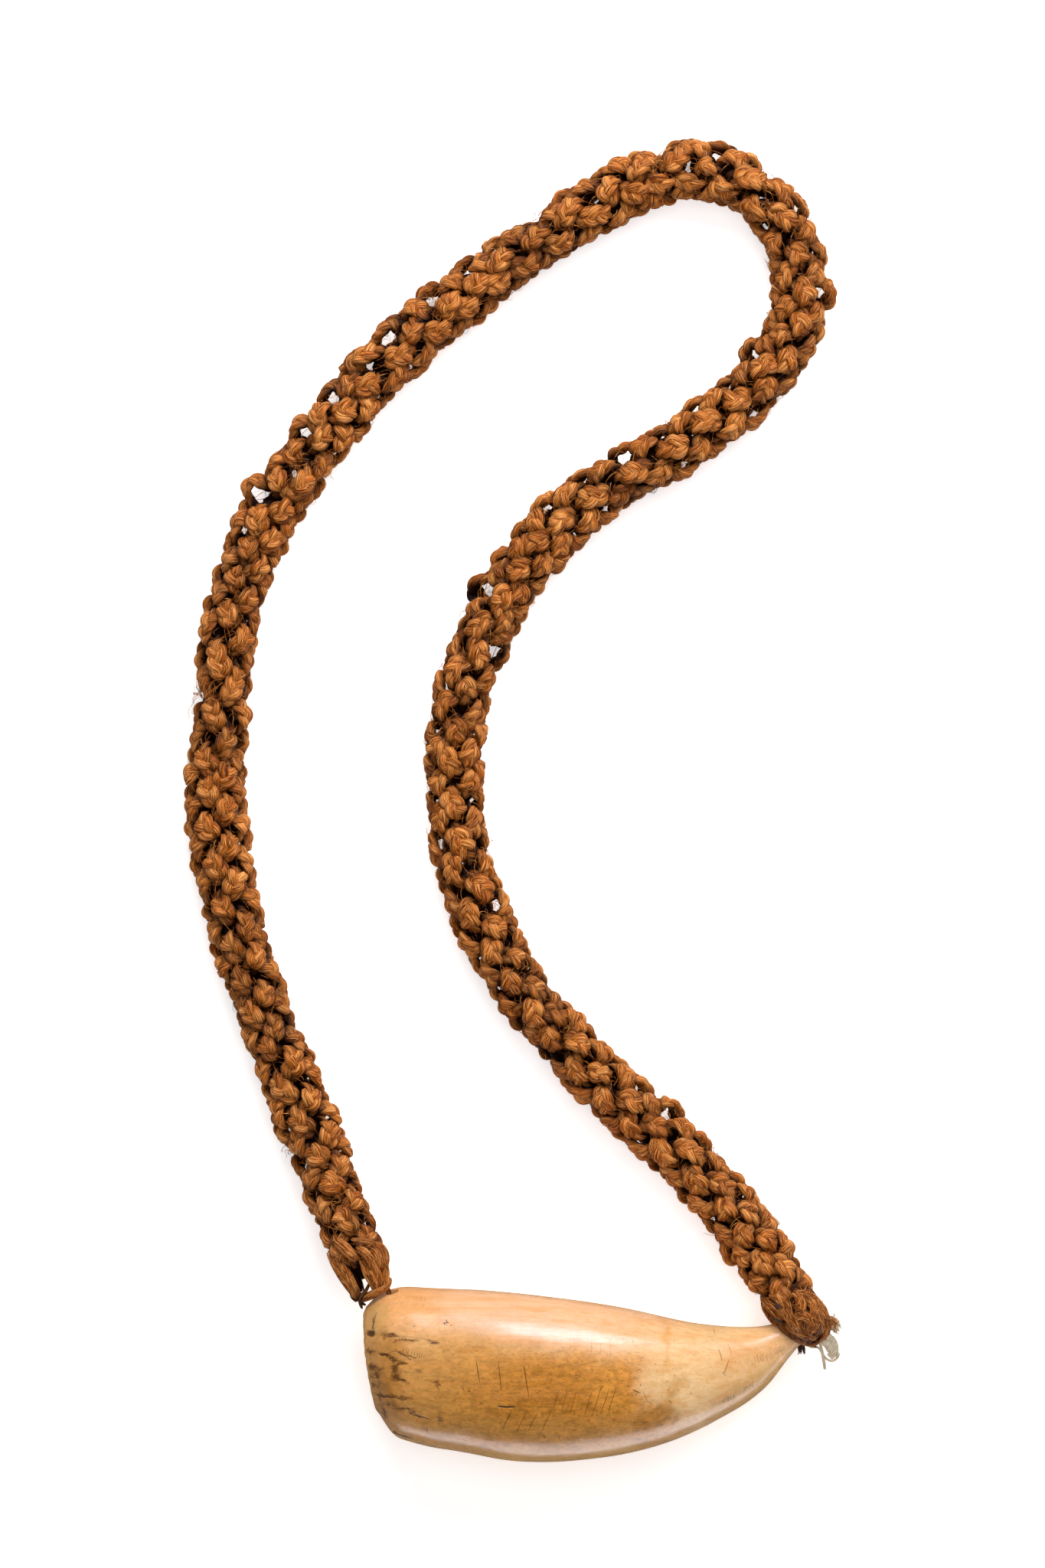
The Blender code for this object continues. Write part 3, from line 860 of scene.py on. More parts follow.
@dataclass
class Tooth:
    """The tooth: lofted through its cross-sections, hollow at the root end, drilled, scratched and worn.

    Each station holds the section's upper edge x and y, its lower edge x and y, the height of its middle
    and half its thickness. Each stain holds its middle x and y, its reach along and across, its strength
    and its lean.
    """

    stations: tuple[tuple[float, ...], ...] = (
        (-80, 24.9, -75, -14.4, 23, 13.8), (-76.4, 28.7, -71.2, -20.2, 23, 18.4),
        (-69.2, 31.9, -65.4, -23.8, 22.9, 21.6), (-58.5, 32, -56.5, -26.2, 22.9, 22.9),
        (-48.3, 31.6, -47, -27.7, 23, 23.6), (-30.1, 30.5, -30.1, -30.8, 23.9, 24.5),
        (-5.7, 27.7, -8, -31.5, 23.4, 24), (14.7, 24.4, 10, -29.6, 21.8, 22.3),
        (34, 20.1, 32, -24, 19.8, 18.6), (49, 17.9, 54.7, -12.9, 17.8, 13.6),
        (61, 17.4, 67.1, -3.4, 16.4, 9.6), (68.5, 18.5, 73.5, 5, 15.8, 6.6),
        (74.3, 20.6, 78.2, 10.6, 15.5, 5),
    )
    rings: int = 200
    sides: int = 140
    top_share: float = 0.3
    section_power: float = 2.15
    root_bow: float = 1.5
    root_bow_run: float = 12.0
    tip_cap_length: float = 4.5
    tip_cap_rings: int = 12
    lip_bulge: float = 1.05
    lip_rings: int = 14
    mouth_half_width: float = 14.0
    mouth_half_thickness: float = 9.2
    cavity_depth: float = 40.0
    cavity_rings: int = 24
    cavity_taper: float = 0.8
    cavity_end_share: float = 0.18
    hole_sides: int = 28
    root_hole: tuple[Point, ...] = ((-70.4, 31.7, 29.4), (-72.5, 12.0, 24.0))
    root_hole_diameter: float = 4.6
    root_hole_overrun: float = 8.0
    tip_hole: tuple[Point, ...] = ((76.3, 15.3, 25.5), (76.3, 15.3, 5.5))
    tip_hole_diameter: float = 4.2
    swell: float = 0.16
    scraping: float = 0.035
    rim_wear: float = 0.35
    worn_run: float = 5.0
    dull_from: float = -64.0
    stroke_floor: float = 14.0
    fine_zones: tuple[tuple[float, int], ...] = ((0.28, 2), (0.07, 1))
    washes: tuple[Wash, ...] = tuple(Wash(*row) for row in (
        ("F5C298", (-20, 28), (78, 13), 0.9, 0.9, 0, 0.12), ("EDAE70", (-66, 26), (13, 9), 0.8, 1.2, 0, 0.2),
        # The pinkish pale wash under the key highlight is painted highlight glow.
        ("F3C4A2", (-22, 19.5), (28, 6), 0.7, 1.2, -0.2, 0.1),
        ("D79D53", (-47, -3), (42, 19), 0.95, 1.5, -0.05, 0.5),
        ("CF9242", (-14, -14), (50, 20), 0.95, 1.1, -0.05, 0.8),
        ("C5822C", (-8, -5), (30, 12), 0.9, 0.6, 0, 1), ("BC7820", (-12, -7), (14, 7), 0.6, 1, 0, 1),
        ("E09A40", (10, -4), (11, 12), 0.7, 1.1, 0, 0.8), ("D2903E", (-38, 2), (10, 8), 0.4, 1.2, 0, 0.7),
        ("F3C993", (46, -1), (22.5, 24), 0.95, 0.6, 0, 0.12), ("F9D59F", (35, -4), (9, 9), 0.7, 1, 0, 0.12),
        ("B5761F", (26.5, -14.5), (8, 3.8), 0.75, 0.9, 0.35, 1),
        ("C98C38", (31.5, -6), (2.6, 5), 0.45, 1.2, -0.3, 0.8),
        ("D0883A", (18.5, -3), (3, 6.5), 0.4, 1.2, 0.5, 0.9),
        ("E9A459", (30.3, 13.6), (1, 8.5), 0.6, 1.3, 0.1, 0.1),
        ("EEB377", (58, 8.5), (15, 4.5), 0.5, 1.3, 0.3, 0.2),
        ("DDAE6A", (61, -5), (17, 4.5), 0.75, 1.1, 0.62, 0.3),
        ("BE8238", (-76.5, 5), (8.5, 17), 0.75, 1.1, 0, 0.5),
        ("A66C28", (-74, -10.5), (6.5, 11), 0.6, 1.2, 0.3, 0.6),
        ("DDB06C", (-77.5, 21.5), (5, 8), 0.7, 1.1, 0, 0.2),
        ("E8B56E", (-8, -31), (56, 4.6), 0.85, 1, 0.03, 0.2),
    ))
    ground_tone: str = "F3C592"
    cavity_tone: str = "8A6238"
    hole_tone: Wash = Wash("C98F4A", (-70.6, 29.0), (5.0, 6.0), 0.9, 0.6)
    rim_tone: str = "C4924E"
    stains: tuple[tuple[float, ...], ...] = (
        (-78, 15.6, 2.2, 0.9, 0.95, 0), (-74, 14.9, 1.6, 0.5, 0.6, 0), (-70.8, 15.2, 3.2, 0.8, 0.8, -0.1),
        (-69, 13.2, 2.4, 0.5, 0.6, -0.1), (-64, 13.4, 3.4, 0.6, 0.65, -0.1), (-55, 13.1, 3, 0.5, 0.7, -0.15),
        (-78, 9, 2.4, 0.9, 0.95, -0.1), (-72.8, 7.9, 3.6, 0.7, 1.05, -0.2), (-69, 6.2, 3.6, 0.7, 1, -0.15),
        (-65, 8.2, 4.4, 0.4, 0.7, -0.35), (-77.4, 3.6, 1.8, 1.4, 0.85, 0), (-76.4, 0.6, 1.6, 1.2, 0.8, 0),
        (-73.4, 3, 3.4, 0.6, 0.75, 0), (-69.6, 3.4, 1.6, 1.6, 0.9, 0), (-69, 0, 2, 1.7, 0.85, 0.5),
        (-66.8, -1, 2.6, 0.9, 0.8, -0.3), (-65.4, 1.4, 2.6, 0.6, 0.65, -0.2), (-60, 2.4, 2, 0.5, 0.6, 0),
        (-77.4, -3, 1.2, 1, 0.8, 0), (-73, -6.6, 4.6, 0.6, 0.75, -0.12), (-66.4, -7.8, 3.4, 0.5, 0.65, -0.1),
        (-71.6, -10, 3, 0.5, 0.75, 0), (-66.2, -11.3, 3.4, 0.8, 0.95, -0.1),
        (-60.6, -14, 4, 0.5, 0.8, -0.33), (-52.6, -15.4, 1.5, 1.3, 0.75, 0.3),
        (-75.2, -6, 0.6, 5, 0.7, 0.05), (-73.6, -13.2, 0.9, 2.6, 0.75, 0.4), (-77.4, 19, 0.5, 3, 0.65, -0.2),
        (-67, -21.5, 4.4, 0.5, 0.8, -0.25), (-51, 19.6, 1.2, 0.8, 0.6, 0), (-62.9, 18.4, 0.9, 0.3, 0.65, 0),
        (-54, -2.6, 1.4, 0.8, 0.65, 0),
    )
    stain_softness: float = 1.25
    stroke_rows: tuple[StrokeRow, ...] = tuple(StrokeRow(*row) for row in (
        ((-38.6, 2), (-21.6, -1.4), 3, 9, 97, 0.3, 0.06, 1, False, 0.2),
        ((-28, -15.6), (-15, -16.6), 4, 9.5, 64, 0.26, 0.05, 0.9, False, 0.15),
        ((-11, -8), (-4.4, -9.4), 3, 7.5, 74, 0.24, 0.04, 0.8, False, 0.15),
        ((1, -9.6), (9.6, -8.4), 4, 9.5, 72, 0.26, 0.05, 0.85, False, 0.12),
        ((1.6, 10.8), (9.4, 10), 3, 5.5, 91, 0.2, 0.02, 0.45, True, 0.2),
        ((-68.8, 28.9), (-58.8, 28.4), 17, 1.4, 84, 0.2, 0.04, 0.5, True, 0.3),
        ((-66.8, 26.4), (-58.6, 26), 13, 0.9, 84, 0.2, 0.03, 0.35, True, 0.4),
        ((-66.3, 9.6), (-58.6, 7.6), 9, 1.5, 80, 0.22, 0.05, 0.75),
        ((66.6, 7.6), (72.6, 9.8), 12, 3.2, 101, 0.2, 0.05, 0.6, True, 0.3),
        ((62, 6), (66.4, 6.6), 8, 2.2, 101, 0.24, 0.06, 0.8, True, 0.35),
        ((67.4, 6.6), (71.8, 9.4), 7, 1.6, 100, 0.18, 0.05, 0.5, False, 0.4),
        ((52.6, 5.2), (61.6, 4.6), 17, 1.1, 99, 0.2, 0.04, 0.5, True, 0.6),
        ((54, 1.6), (62, 3), 12, 1, 99, 0.2, 0.04, 0.35, True, 0.7),
        ((45.2, -11.2), (66.8, -1.4), 44, 1.2, 96, 0.18, 0.05, 0.45, False, 0.35),
        ((50.2, -9.4), (54.2, -7.6), 9, 1.5, 98, 0.2, 0.06, 0.85, False, 0.3),
        ((58, -4.8), (60.9, -3.2), 7, 1.5, 98, 0.2, 0.06, 0.9, False, 0.3),
        ((37, -16), (46, -12.2), 12, 1, 96, 0.18, 0.04, 0.3, False, 0.6),
        ((0.8, -15.8), (3.8, -18.8), 7, 2.2, 112, 0.2, 0.05, 0.7, True, 0.4),
        ((-16.6, -21.6), (-3, -22.6), 6, 1.4, 118, 0.28, 0.1, 0.8, False, 0.6),
    ))
    single_strokes: tuple[Stroke, ...] = tuple(Stroke(*row) for row in (
        (((-32, -10.6), (-28.8, -10.8), (-25.8, -10.7)), 0.62, 0.3, 1),
        (((52.3, 5.6), (51.4, 3), (50.6, 1.6)), 0.34, 0.08, 0.8, True),
        (((51.4, 1.8), (50.2, 1.1), (51.4, 0)), 0.3, 0.08, 0.8, True),
        (((48.6, 9.8), (49.4, 7.6), (49.8, 5.6)), 0.26, 0.08, 0.85),
        (((52, 12.4), (53, 9.2), (53.2, 8)), 0.2, 0.06, 0.7),
        (((46.8, 17.2), (47.3, 15.2)), 0.26, 0.06, 0.7, True),
        (((44.4, 9.7), (47.8, 9.4)), 0.2, 0.03, 0.5, True),
        (((54.6, 9.2), (62, 9.5), (66, 10.4)), 0.18, 0.03, 0.3, True),
        (((43, 2.8), (47.4, 3.4), (52, 2.6)), 0.18, 0.03, 0.3, True),
        (((29, -1.6), (30.4, -1.7)), 0.34, 0.05, 0.6, True), (((17.2, -4.7), (19.6, -5.7)), 0.42, 0.1, 0.9),
        (((21, -5.4), (22.4, -8.8), (24.8, -10.4)), 0.22, 0.05, 0.6),
        (((5.2, -4.9), (6, -3.8)), 0.34, 0.08, 0.8), (((-50.9, 20.9), (-50.4, 19.9)), 0.42, 0.1, 0.85),
        (((-51.7, 19.7), (-51.2, 19.4)), 0.34, 0.08, 0.8),
        (((-49.4, 18.6), (-48.6, 19)), 0.36, 0.08, 0.7, True),
        (((-4, 1.6), (-2.6, 2.2), (-1.6, 2)), 0.42, 0.08, 0.7, True),
        (((-3.8, 0.9), (-2.6, 0.5), (-1.8, 0.8)), 0.36, 0.08, 0.7),
        (((-1.2, 3.2), (0.6, 1.6), (2.4, 0.4)), 0.18, 0.04, 0.5, True),
        (((-74, 7.9), (-69.6, 9.6), (-66, 8.2), (-64.2, 6.6), (-58, 5.6)), 0.24, 0.06, 0.75),
        (((-69, 15.2), (-62, 14.4), (-54, 13.2)), 0.18, 0.04, 0.45),
        (((-63.2, -12.9), (-60.6, -14.2), (-56.6, -15.5)), 0.32, 0.08, 0.85),
        (((-57.9, -18.2), (-57.6, -20.4)), 0.36, 0.1, 0.9), (((-78.6, -0.4), (-75.2, -0.6)), 0.3, 0.06, 0.7),
        (((-77, -6.6), (-72.4, -7.4), (-66.8, -7.8)), 0.26, 0.06, 0.75),
        (((-71.4, -11.2), (-66.6, -12.6)), 0.26, 0.06, 0.8),
        (((-76.2, 23.6), (-77.6, 18.4), (-78.2, 15.8)), 0.26, 0.05, 0.6),
        (((-71, -20.4), (-66.6, -21.6), (-62.6, -22.8)), 0.26, 0.06, 0.6),
        (((-54.4, -2.9), (-53.2, -4.8)), 0.36, 0.06, 0.7), (((-45, -3.6), (-44.2, -4.6)), 0.3, 0.06, 0.8),
        (((-42.9, -4.8), (-42, -5.2)), 0.4, 0.08, 0.9),
    ))
    small_strokes: int = 54

    def sections(self) -> tuple[Array, Array, Array]:
        """Find the cross-sections from root to tip.

        Returns:
            Their middles, their directions across and their half widths and half thicknesses.
        """
        stations = np.array(self.stations)
        middles = (stations[:, 0:2] + stations[:, 2:4]) / 2
        knots = travelled(middles)
        rows = natural_spline(knots, stations, np.linspace(0.0, knots[-1], self.rings))
        upper = np.column_stack([rows[:, 0:2], rows[:, 4]])
        lower = np.column_stack([rows[:, 2:4], rows[:, 4]])
        half_width = np.linalg.norm(upper - lower, axis=1) / 2
        return (upper + lower) / 2, unit(upper - lower), np.column_stack([half_width, rows[:, 5]])

    def ovals(self, middles: Array, across: Array, sizes: Array) -> Array:
        """Make oval rings, with more points on the upper side.

        Args:
            middles: The rings' middles.
            across: The direction of the rings' width, or of each ring's.
            sizes: Half the width and half the thickness of each.

        Returns:
            The rings, as rings by sides by 3.
        """
        across = np.broadcast_to(across, middles.shape)
        turn = round_angles(self.sides)
        turn = turn + self.top_share * np.cos(turn)
        wide = np.sign(np.cos(turn)) * np.abs(np.cos(turn)) ** (2 / self.section_power)
        high = np.sign(np.sin(turn)) * np.abs(np.sin(turn)) ** (2 / self.section_power)
        rings = middles[:, None] + across[:, None] * (wide * sizes[:, :1])[..., None]
        rings[..., 2] += high * sizes[:, 1:]
        return rings

    def skin(self) -> Array:
        """Lay all the rings from the tip, over the tooth and into the cavity.

        Returns:
            The rings, as rings by sides by 3.
        """
        middles, across, sizes = self.sections()
        up = np.array((0.0, 0.0, 1.0))
        tip_way = np.cross(across[-1], up)
        turn = math.pi / 2 * np.arange(self.tip_cap_rings, 0, -1) / (self.tip_cap_rings + 1)
        cap = middles[-1] + self.tip_cap_length * np.sin(turn)[:, None] * tip_way
        root_way = np.cross(up, across[0])
        mouth = np.array((self.mouth_half_width, self.mouth_half_thickness))
        share = 1 - np.arange(1, self.lip_rings)[:, None] / self.lip_rings
        lip = middles[0] + self.lip_bulge * np.sin(math.pi * share) * root_way
        deep = np.linspace(0.0, 1.0, self.cavity_rings)[:, None]
        narrowing = (1 - deep) ** self.cavity_taper * (1 - self.cavity_end_share) + self.cavity_end_share
        inside = middles[0] - self.cavity_depth * deep * root_way
        rings = np.concatenate([
            self.ovals(cap, across[-1], np.cos(turn)[:, None] * sizes[-1]),
            self.ovals(middles[::-1], across[::-1], sizes[::-1]),
            self.ovals(lip, across[0], share * sizes[0] + (1 - share) * mouth),
            self.ovals(inside, across[0], narrowing * mouth),
        ])
        offset = rings - middles[0]
        inward = np.clip(1 + offset @ root_way / self.root_bow_run, 0.0, 1.0)
        aside = np.clip(offset @ across[0] / sizes[0, 0], -1.0, 1.0)
        rings += root_way * (self.root_bow * inward**2 * (1 - aside**2))[..., None]
        rings[..., 2] = np.maximum(rings[..., 2], 0.0)
        return rings

    def loft(self) -> Mesh:
        """Make the closed mesh of the tooth.

        Returns:
            The mesh, with its bake map.
        """
        rings = self.skin()
        count = len(rings)
        middles = rings.mean(axis=1)
        points = np.concatenate([rings.reshape(-1, 3), middles[:1], middles[-1:]]) * MM
        run = travelled(rings[:, self.sides // 4])
        run = (run + 1.0) / (run[-1] + 2.0)
        faces = []
        layout = []
        last = (count - 1) * self.sides
        for side in range(self.sides):
            after = (side + 1) % self.sides
            low, high = side / self.sides, (side + 1) / self.sides
            for ring in range(count - 1):
                near, far = ring * self.sides, (ring + 1) * self.sides
                faces.append((near + side, near + after, far + after, far + side))
                layout += [(run[ring], low), (run[ring], high), (run[ring + 1], high), (run[ring + 1], low)]
            faces.append((count * self.sides, after, side))
            layout += [(0.0, (low + high) / 2), (run[0], high), (run[0], low)]
            faces.append((count * self.sides + 1, last + side, last + after))
            layout += [(1.0, (low + high) / 2), (run[-1], low), (run[-1], high)]
        made = bpy.data.meshes.new("tooth")
        made.from_pydata(points.tolist(), [], faces)
        write_map(made, BAKE_MAP, np.array(layout))
        return made

    def drill(self, mesh: Mesh) -> Mesh:
        """Drill the two holes.

        Args:
            mesh: The whole tooth.

        Returns:
            The drilled mesh.
        """
        made = place_object("tooth_blank", mesh)
        used = [made]
        for (mouth, inner), diameter, overrun in (
            (self.root_hole, self.root_hole_diameter, self.root_hole_overrun),
            (self.tip_hole, self.tip_hole_diameter, 0.0),
        ):
            inner = Vector(inner) * MM
            mouth = Vector(mouth) * MM
            mouth = mouth + (mouth - inner).normalized() * overrun * MM
            bm = bmesh.new()
            bmesh.ops.create_cone(
                bm, cap_ends=True, segments=self.hole_sides, radius1=diameter / 2 * MM,
                radius2=diameter / 2 * MM, depth=(inner - mouth).length,
            )
            cutter = place_object("drill", bpy.data.meshes.new("drill"))
            bm.to_mesh(cutter.data)
            bm.free()
            cutter.location = (mouth + inner) / 2
            cutter.rotation_mode = "QUATERNION"
            cutter.rotation_quaternion = Vector((0.0, 0.0, 1.0)).rotation_difference(inner - mouth)
            cut = made.modifiers.new("drill", "BOOLEAN")
            cut.operation = "DIFFERENCE"
            cut.solver = "EXACT"
            cut.object = cutter
            used.append(cutter)
        seen = made.evaluated_get(bpy.context.evaluated_depsgraph_get())
        drilled = bpy.data.meshes.new_from_object(seen)
        for blank in used:
            bpy.data.objects.remove(blank)
        return drilled

    def strokes(self) -> list[Stroke]:
        """Lay every stroke.

        Returns:
            The strokes.
        """
        rng = np.random.default_rng(SEED + 21)
        laid = list(self.single_strokes)
        for row in self.stroke_rows:
            laid += row.strokes(rng)
        for _ in range(self.small_strokes):
            middle = np.array((rng.uniform(-58.0, 40.0), rng.triangular(-25.0, -10.0, 22.0)))
            turn = rng.uniform(0.0, math.pi)
            way = np.array((math.cos(turn), math.sin(turn))) * rng.uniform(0.3, 1.0)
            width, darkness = rng.uniform(0.18, 0.28), rng.uniform(0.4, 0.9)
            ends = (tuple(middle - way), tuple(middle + way))
            laid.append(Stroke(ends, width, 0.04, darkness, rng.random() < 0.6))
        return laid

    def refine(self, mesh: Mesh, strokes: Sequence[Stroke]) -> None:
        """Divide the faces that the strokes cross.

        Args:
            mesh: The drilled mesh.
            strokes: The strokes.
        """
        for reach, cuts in self.fine_zones:
            places = read_points(mesh)
            near = np.zeros(len(places), dtype=bool)
            for stroke in strokes:
                close, far, _ = stroke.measured(places[:, :2], reach + stroke.width / 2)
                near[close[far < reach + stroke.width / 2]] = True
            near &= places[:, 2] > self.stroke_floor
            bm = bmesh.new()
            bm.from_mesh(mesh)
            bm.verts.ensure_lookup_table()
            chosen = {face for vertex in np.flatnonzero(near) for face in bm.verts[vertex].link_faces}
            edges = list({edge for face in chosen for edge in face.edges})
            bmesh.ops.subdivide_edges(bm, edges=edges, cuts=cuts, use_grid_fill=True)
            bmesh.ops.recalc_face_normals(bm, faces=bm.faces)
            bm.to_mesh(mesh)
            bm.free()

    def depth_inside(self, places: Array) -> Array:
        """Find how far inside the outer skin each place is.

        Args:
            places: The places.

        Returns:
            The depths, from 0 at the skin to 1 at the middle.
        """
        middles, across, sizes = self.sections()
        nearest = np.searchsorted(middles[:, 0], places[:, 0]).clip(0, len(middles) - 1)
        for _ in range(3):
            ahead = np.cross(across[nearest], (0.0, 0.0, 1.0))
            off = np.einsum("ij,ij->i", places - middles[nearest], ahead)
            nearest = np.clip(nearest + np.round(off / 0.6).astype(int), 0, len(middles) - 1)
        offset = places - middles[nearest]
        wide = np.abs(np.einsum("ij,ij->i", offset, across[nearest])) / sizes[nearest, 0]
        high = np.abs(offset[:, 2]) / sizes[nearest, 1]
        power = self.section_power
        return 1 - np.minimum(1.0, (wide**power + high**power) ** (1 / power))

    def wear(self, mesh: Mesh, strokes: Sequence[Stroke]) -> None:
        """Give the skin its relief and write its tones and marks as attributes.

        Args:
            mesh: The refined mesh.
            strokes: The strokes.
        """
        places = read_points(mesh)
        flat = places[:, :2]
        normals = np.empty(len(places) * 3, dtype=np.float32)
        mesh.vertices.foreach_get("normal", normals)
        normals = normals.reshape(-1, 3).astype(float)
        inside = self.depth_inside(places)
        slow, fine, rim = np.array([
            (
                noise.noise(Vector((x / 16, y / 10, z / 10))),
                noise.noise(Vector((x / 7, y / 1.3 + 40, z / 1.3))),
                noise.noise(Vector((x / 3, y / 2.2, z / 2.2 + 70))),
            )
            for x, y, z in places.tolist()
        ]).T
        root = np.clip(1 - (places[:, 0] + 79.5) / self.worn_run, 0.0, 1.0) ** 2
        height = self.swell * slow + self.scraping * fine
        height -= self.rim_wear * root * np.maximum(rim, -0.2)
        upper = np.clip((normals[:, 2] + 0.1) / 0.3, 0.0, 1.0) * (np.clip(1 - inside / 0.12, 0.0, 1.0) > 0.5)
        marks, rust, stained = np.zeros((3, len(places)))
        for stroke in strokes:
            deep = stroke.profile(flat) * upper
            height -= stroke.depth * deep
            dirt = rust if stroke.rusty else marks
            np.maximum(dirt, stroke.darkness * deep, out=dirt)
        bent = flat + 1.2 * np.column_stack([rim, fine])
        for x, y, long, wide, strength, lean in self.stains:
            stain = Wash("", (x, y), (long, wide), strength, self.stain_softness, lean)
            stained = np.maximum(stained, stain.weight(bent) * upper)
        height -= 0.10 * stained * np.maximum(0.0, fine + 0.2)
        moved = places + normals * height[:, None]
        moved[:, 2] = np.where(places[:, 2] < 0.01, 0.0, np.maximum(moved[:, 2], 0.0))
        mesh.vertices.foreach_set("co", (moved * MM).astype(np.float32).reshape(-1))
        tone = np.tile(linear(self.ground_tone), (len(places), 1))
        mottled = np.full(len(places), 0.2)
        bent = flat + np.column_stack([7.0 * slow + 1.5 * rim, 4.0 * slow + 1.0 * fine])
        for wash in self.washes:
            weight = wash.weight(bent)
            tone = blend(tone, np.array(linear(wash.colour)), weight[:, None])
            mottled = blend(mottled, wash.mottling, weight)
        rim = np.clip(-normals[:, :1] - 0.35, 0.0, 0.5) / 0.5
        rim = rim * np.clip(-75.0 - places[:, :1], 0.0, 3.0) / 3.0
        tone = blend(tone, np.array(linear(self.rim_tone)), 0.7 * rim)
        near_hole = self.hole_tone.weight(flat)[:, None]
        deep = blend(np.array(linear(self.cavity_tone)), np.array(linear(self.hole_tone.colour)), near_hole)
        tone = blend(tone, deep, np.clip((inside - 0.05) / 0.3, 0.0, 1.0)[:, None])
        paint = mesh.attributes.new("tone", "FLOAT_COLOR", "POINT")
        paint.data.foreach_set("color", tone.astype(np.float32).reshape(-1))
        dull = np.clip((self.dull_from - places[:, 0]) / 14.0, 0.0, 1.0)
        masks = {"marks": marks, "rust": rust, "stained": stained, "dull": dull, "mottled": mottled}
        for name, values in masks.items():
            write_mask(mesh, name, values)

    def build(self, ivory: Material) -> Object:
        """Make the tooth in place of its plain solid.

        Args:
            ivory: Its material.

        Returns:
            The piece.
        """
        mesh = self.drill(self.loft())
        strokes = self.strokes()
        self.refine(mesh, strokes)
        self.wear(mesh, strokes)
        mesh.materials.clear()
        mesh.shade_smooth()
        mesh.set_sharp_from_angle(angle=math.radians(50))
        made = add_piece("carved_tooth", mesh, ivory, Slot.IVORY)
        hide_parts("tooth")
        return made


# The cord


@dataclass
class CordLine:
    """The line down the middle of the cord, with its directions, in millimetres."""

    places: Array
    along: Array
    ahead: Array
    side: Array
    up: Array

    @classmethod
    def through(cls, route: Sequence[Point], step: float) -> "CordLine":
        """Lay the line through a route's own points.

        Args:
            route: The route's points, from the root end to the tip.
            step: Distance between the line's points.

        Returns:
            The line.
        """
        points = np.array(route, dtype=float)
        places = evenly(points, int(travelled(points)[-1] / step))
        ahead = heading(places)
        side = unit(np.cross(ahead, (0.0, 0.0, 1.0)))
        return cls(places, travelled(places), ahead, side, np.cross(side, ahead))

    @property
    def length(self) -> float:
        """The line's length."""
        return float(self.along[-1])

    def at(self, where: Array) -> tuple[Array, Array, Array, Array]:
        """Find the middle of the cord and its directions at some distances along it.

        Args:
            where: Distances from the root end.

        Returns:
            The places, and the directions ahead, to the side and up.
        """
        places, ahead, side, up = (
            resampled(where, self.along, rows) for rows in (self.places, self.ahead, self.side, self.up)
        )
        beyond = np.where(where < 0, where, np.maximum(where - self.length, 0.0))
        return places + beyond[:, None] * unit(ahead), unit(ahead), unit(side), unit(up)

    def round_it(self, where: Array, angle: Array) -> tuple[Array, Array]:
        """Find the cord's middle and the way outward, at some distances and angles from its side."""
        places, _, side, up = self.at(where)
        return places, side * np.cos(angle)[:, None] + up * np.sin(angle)[:, None]


@dataclass(frozen=True)
class Eyelet:
    """A gap between the strands that one can see through, in millimetres."""

    along: float
    aside: float
    size: float


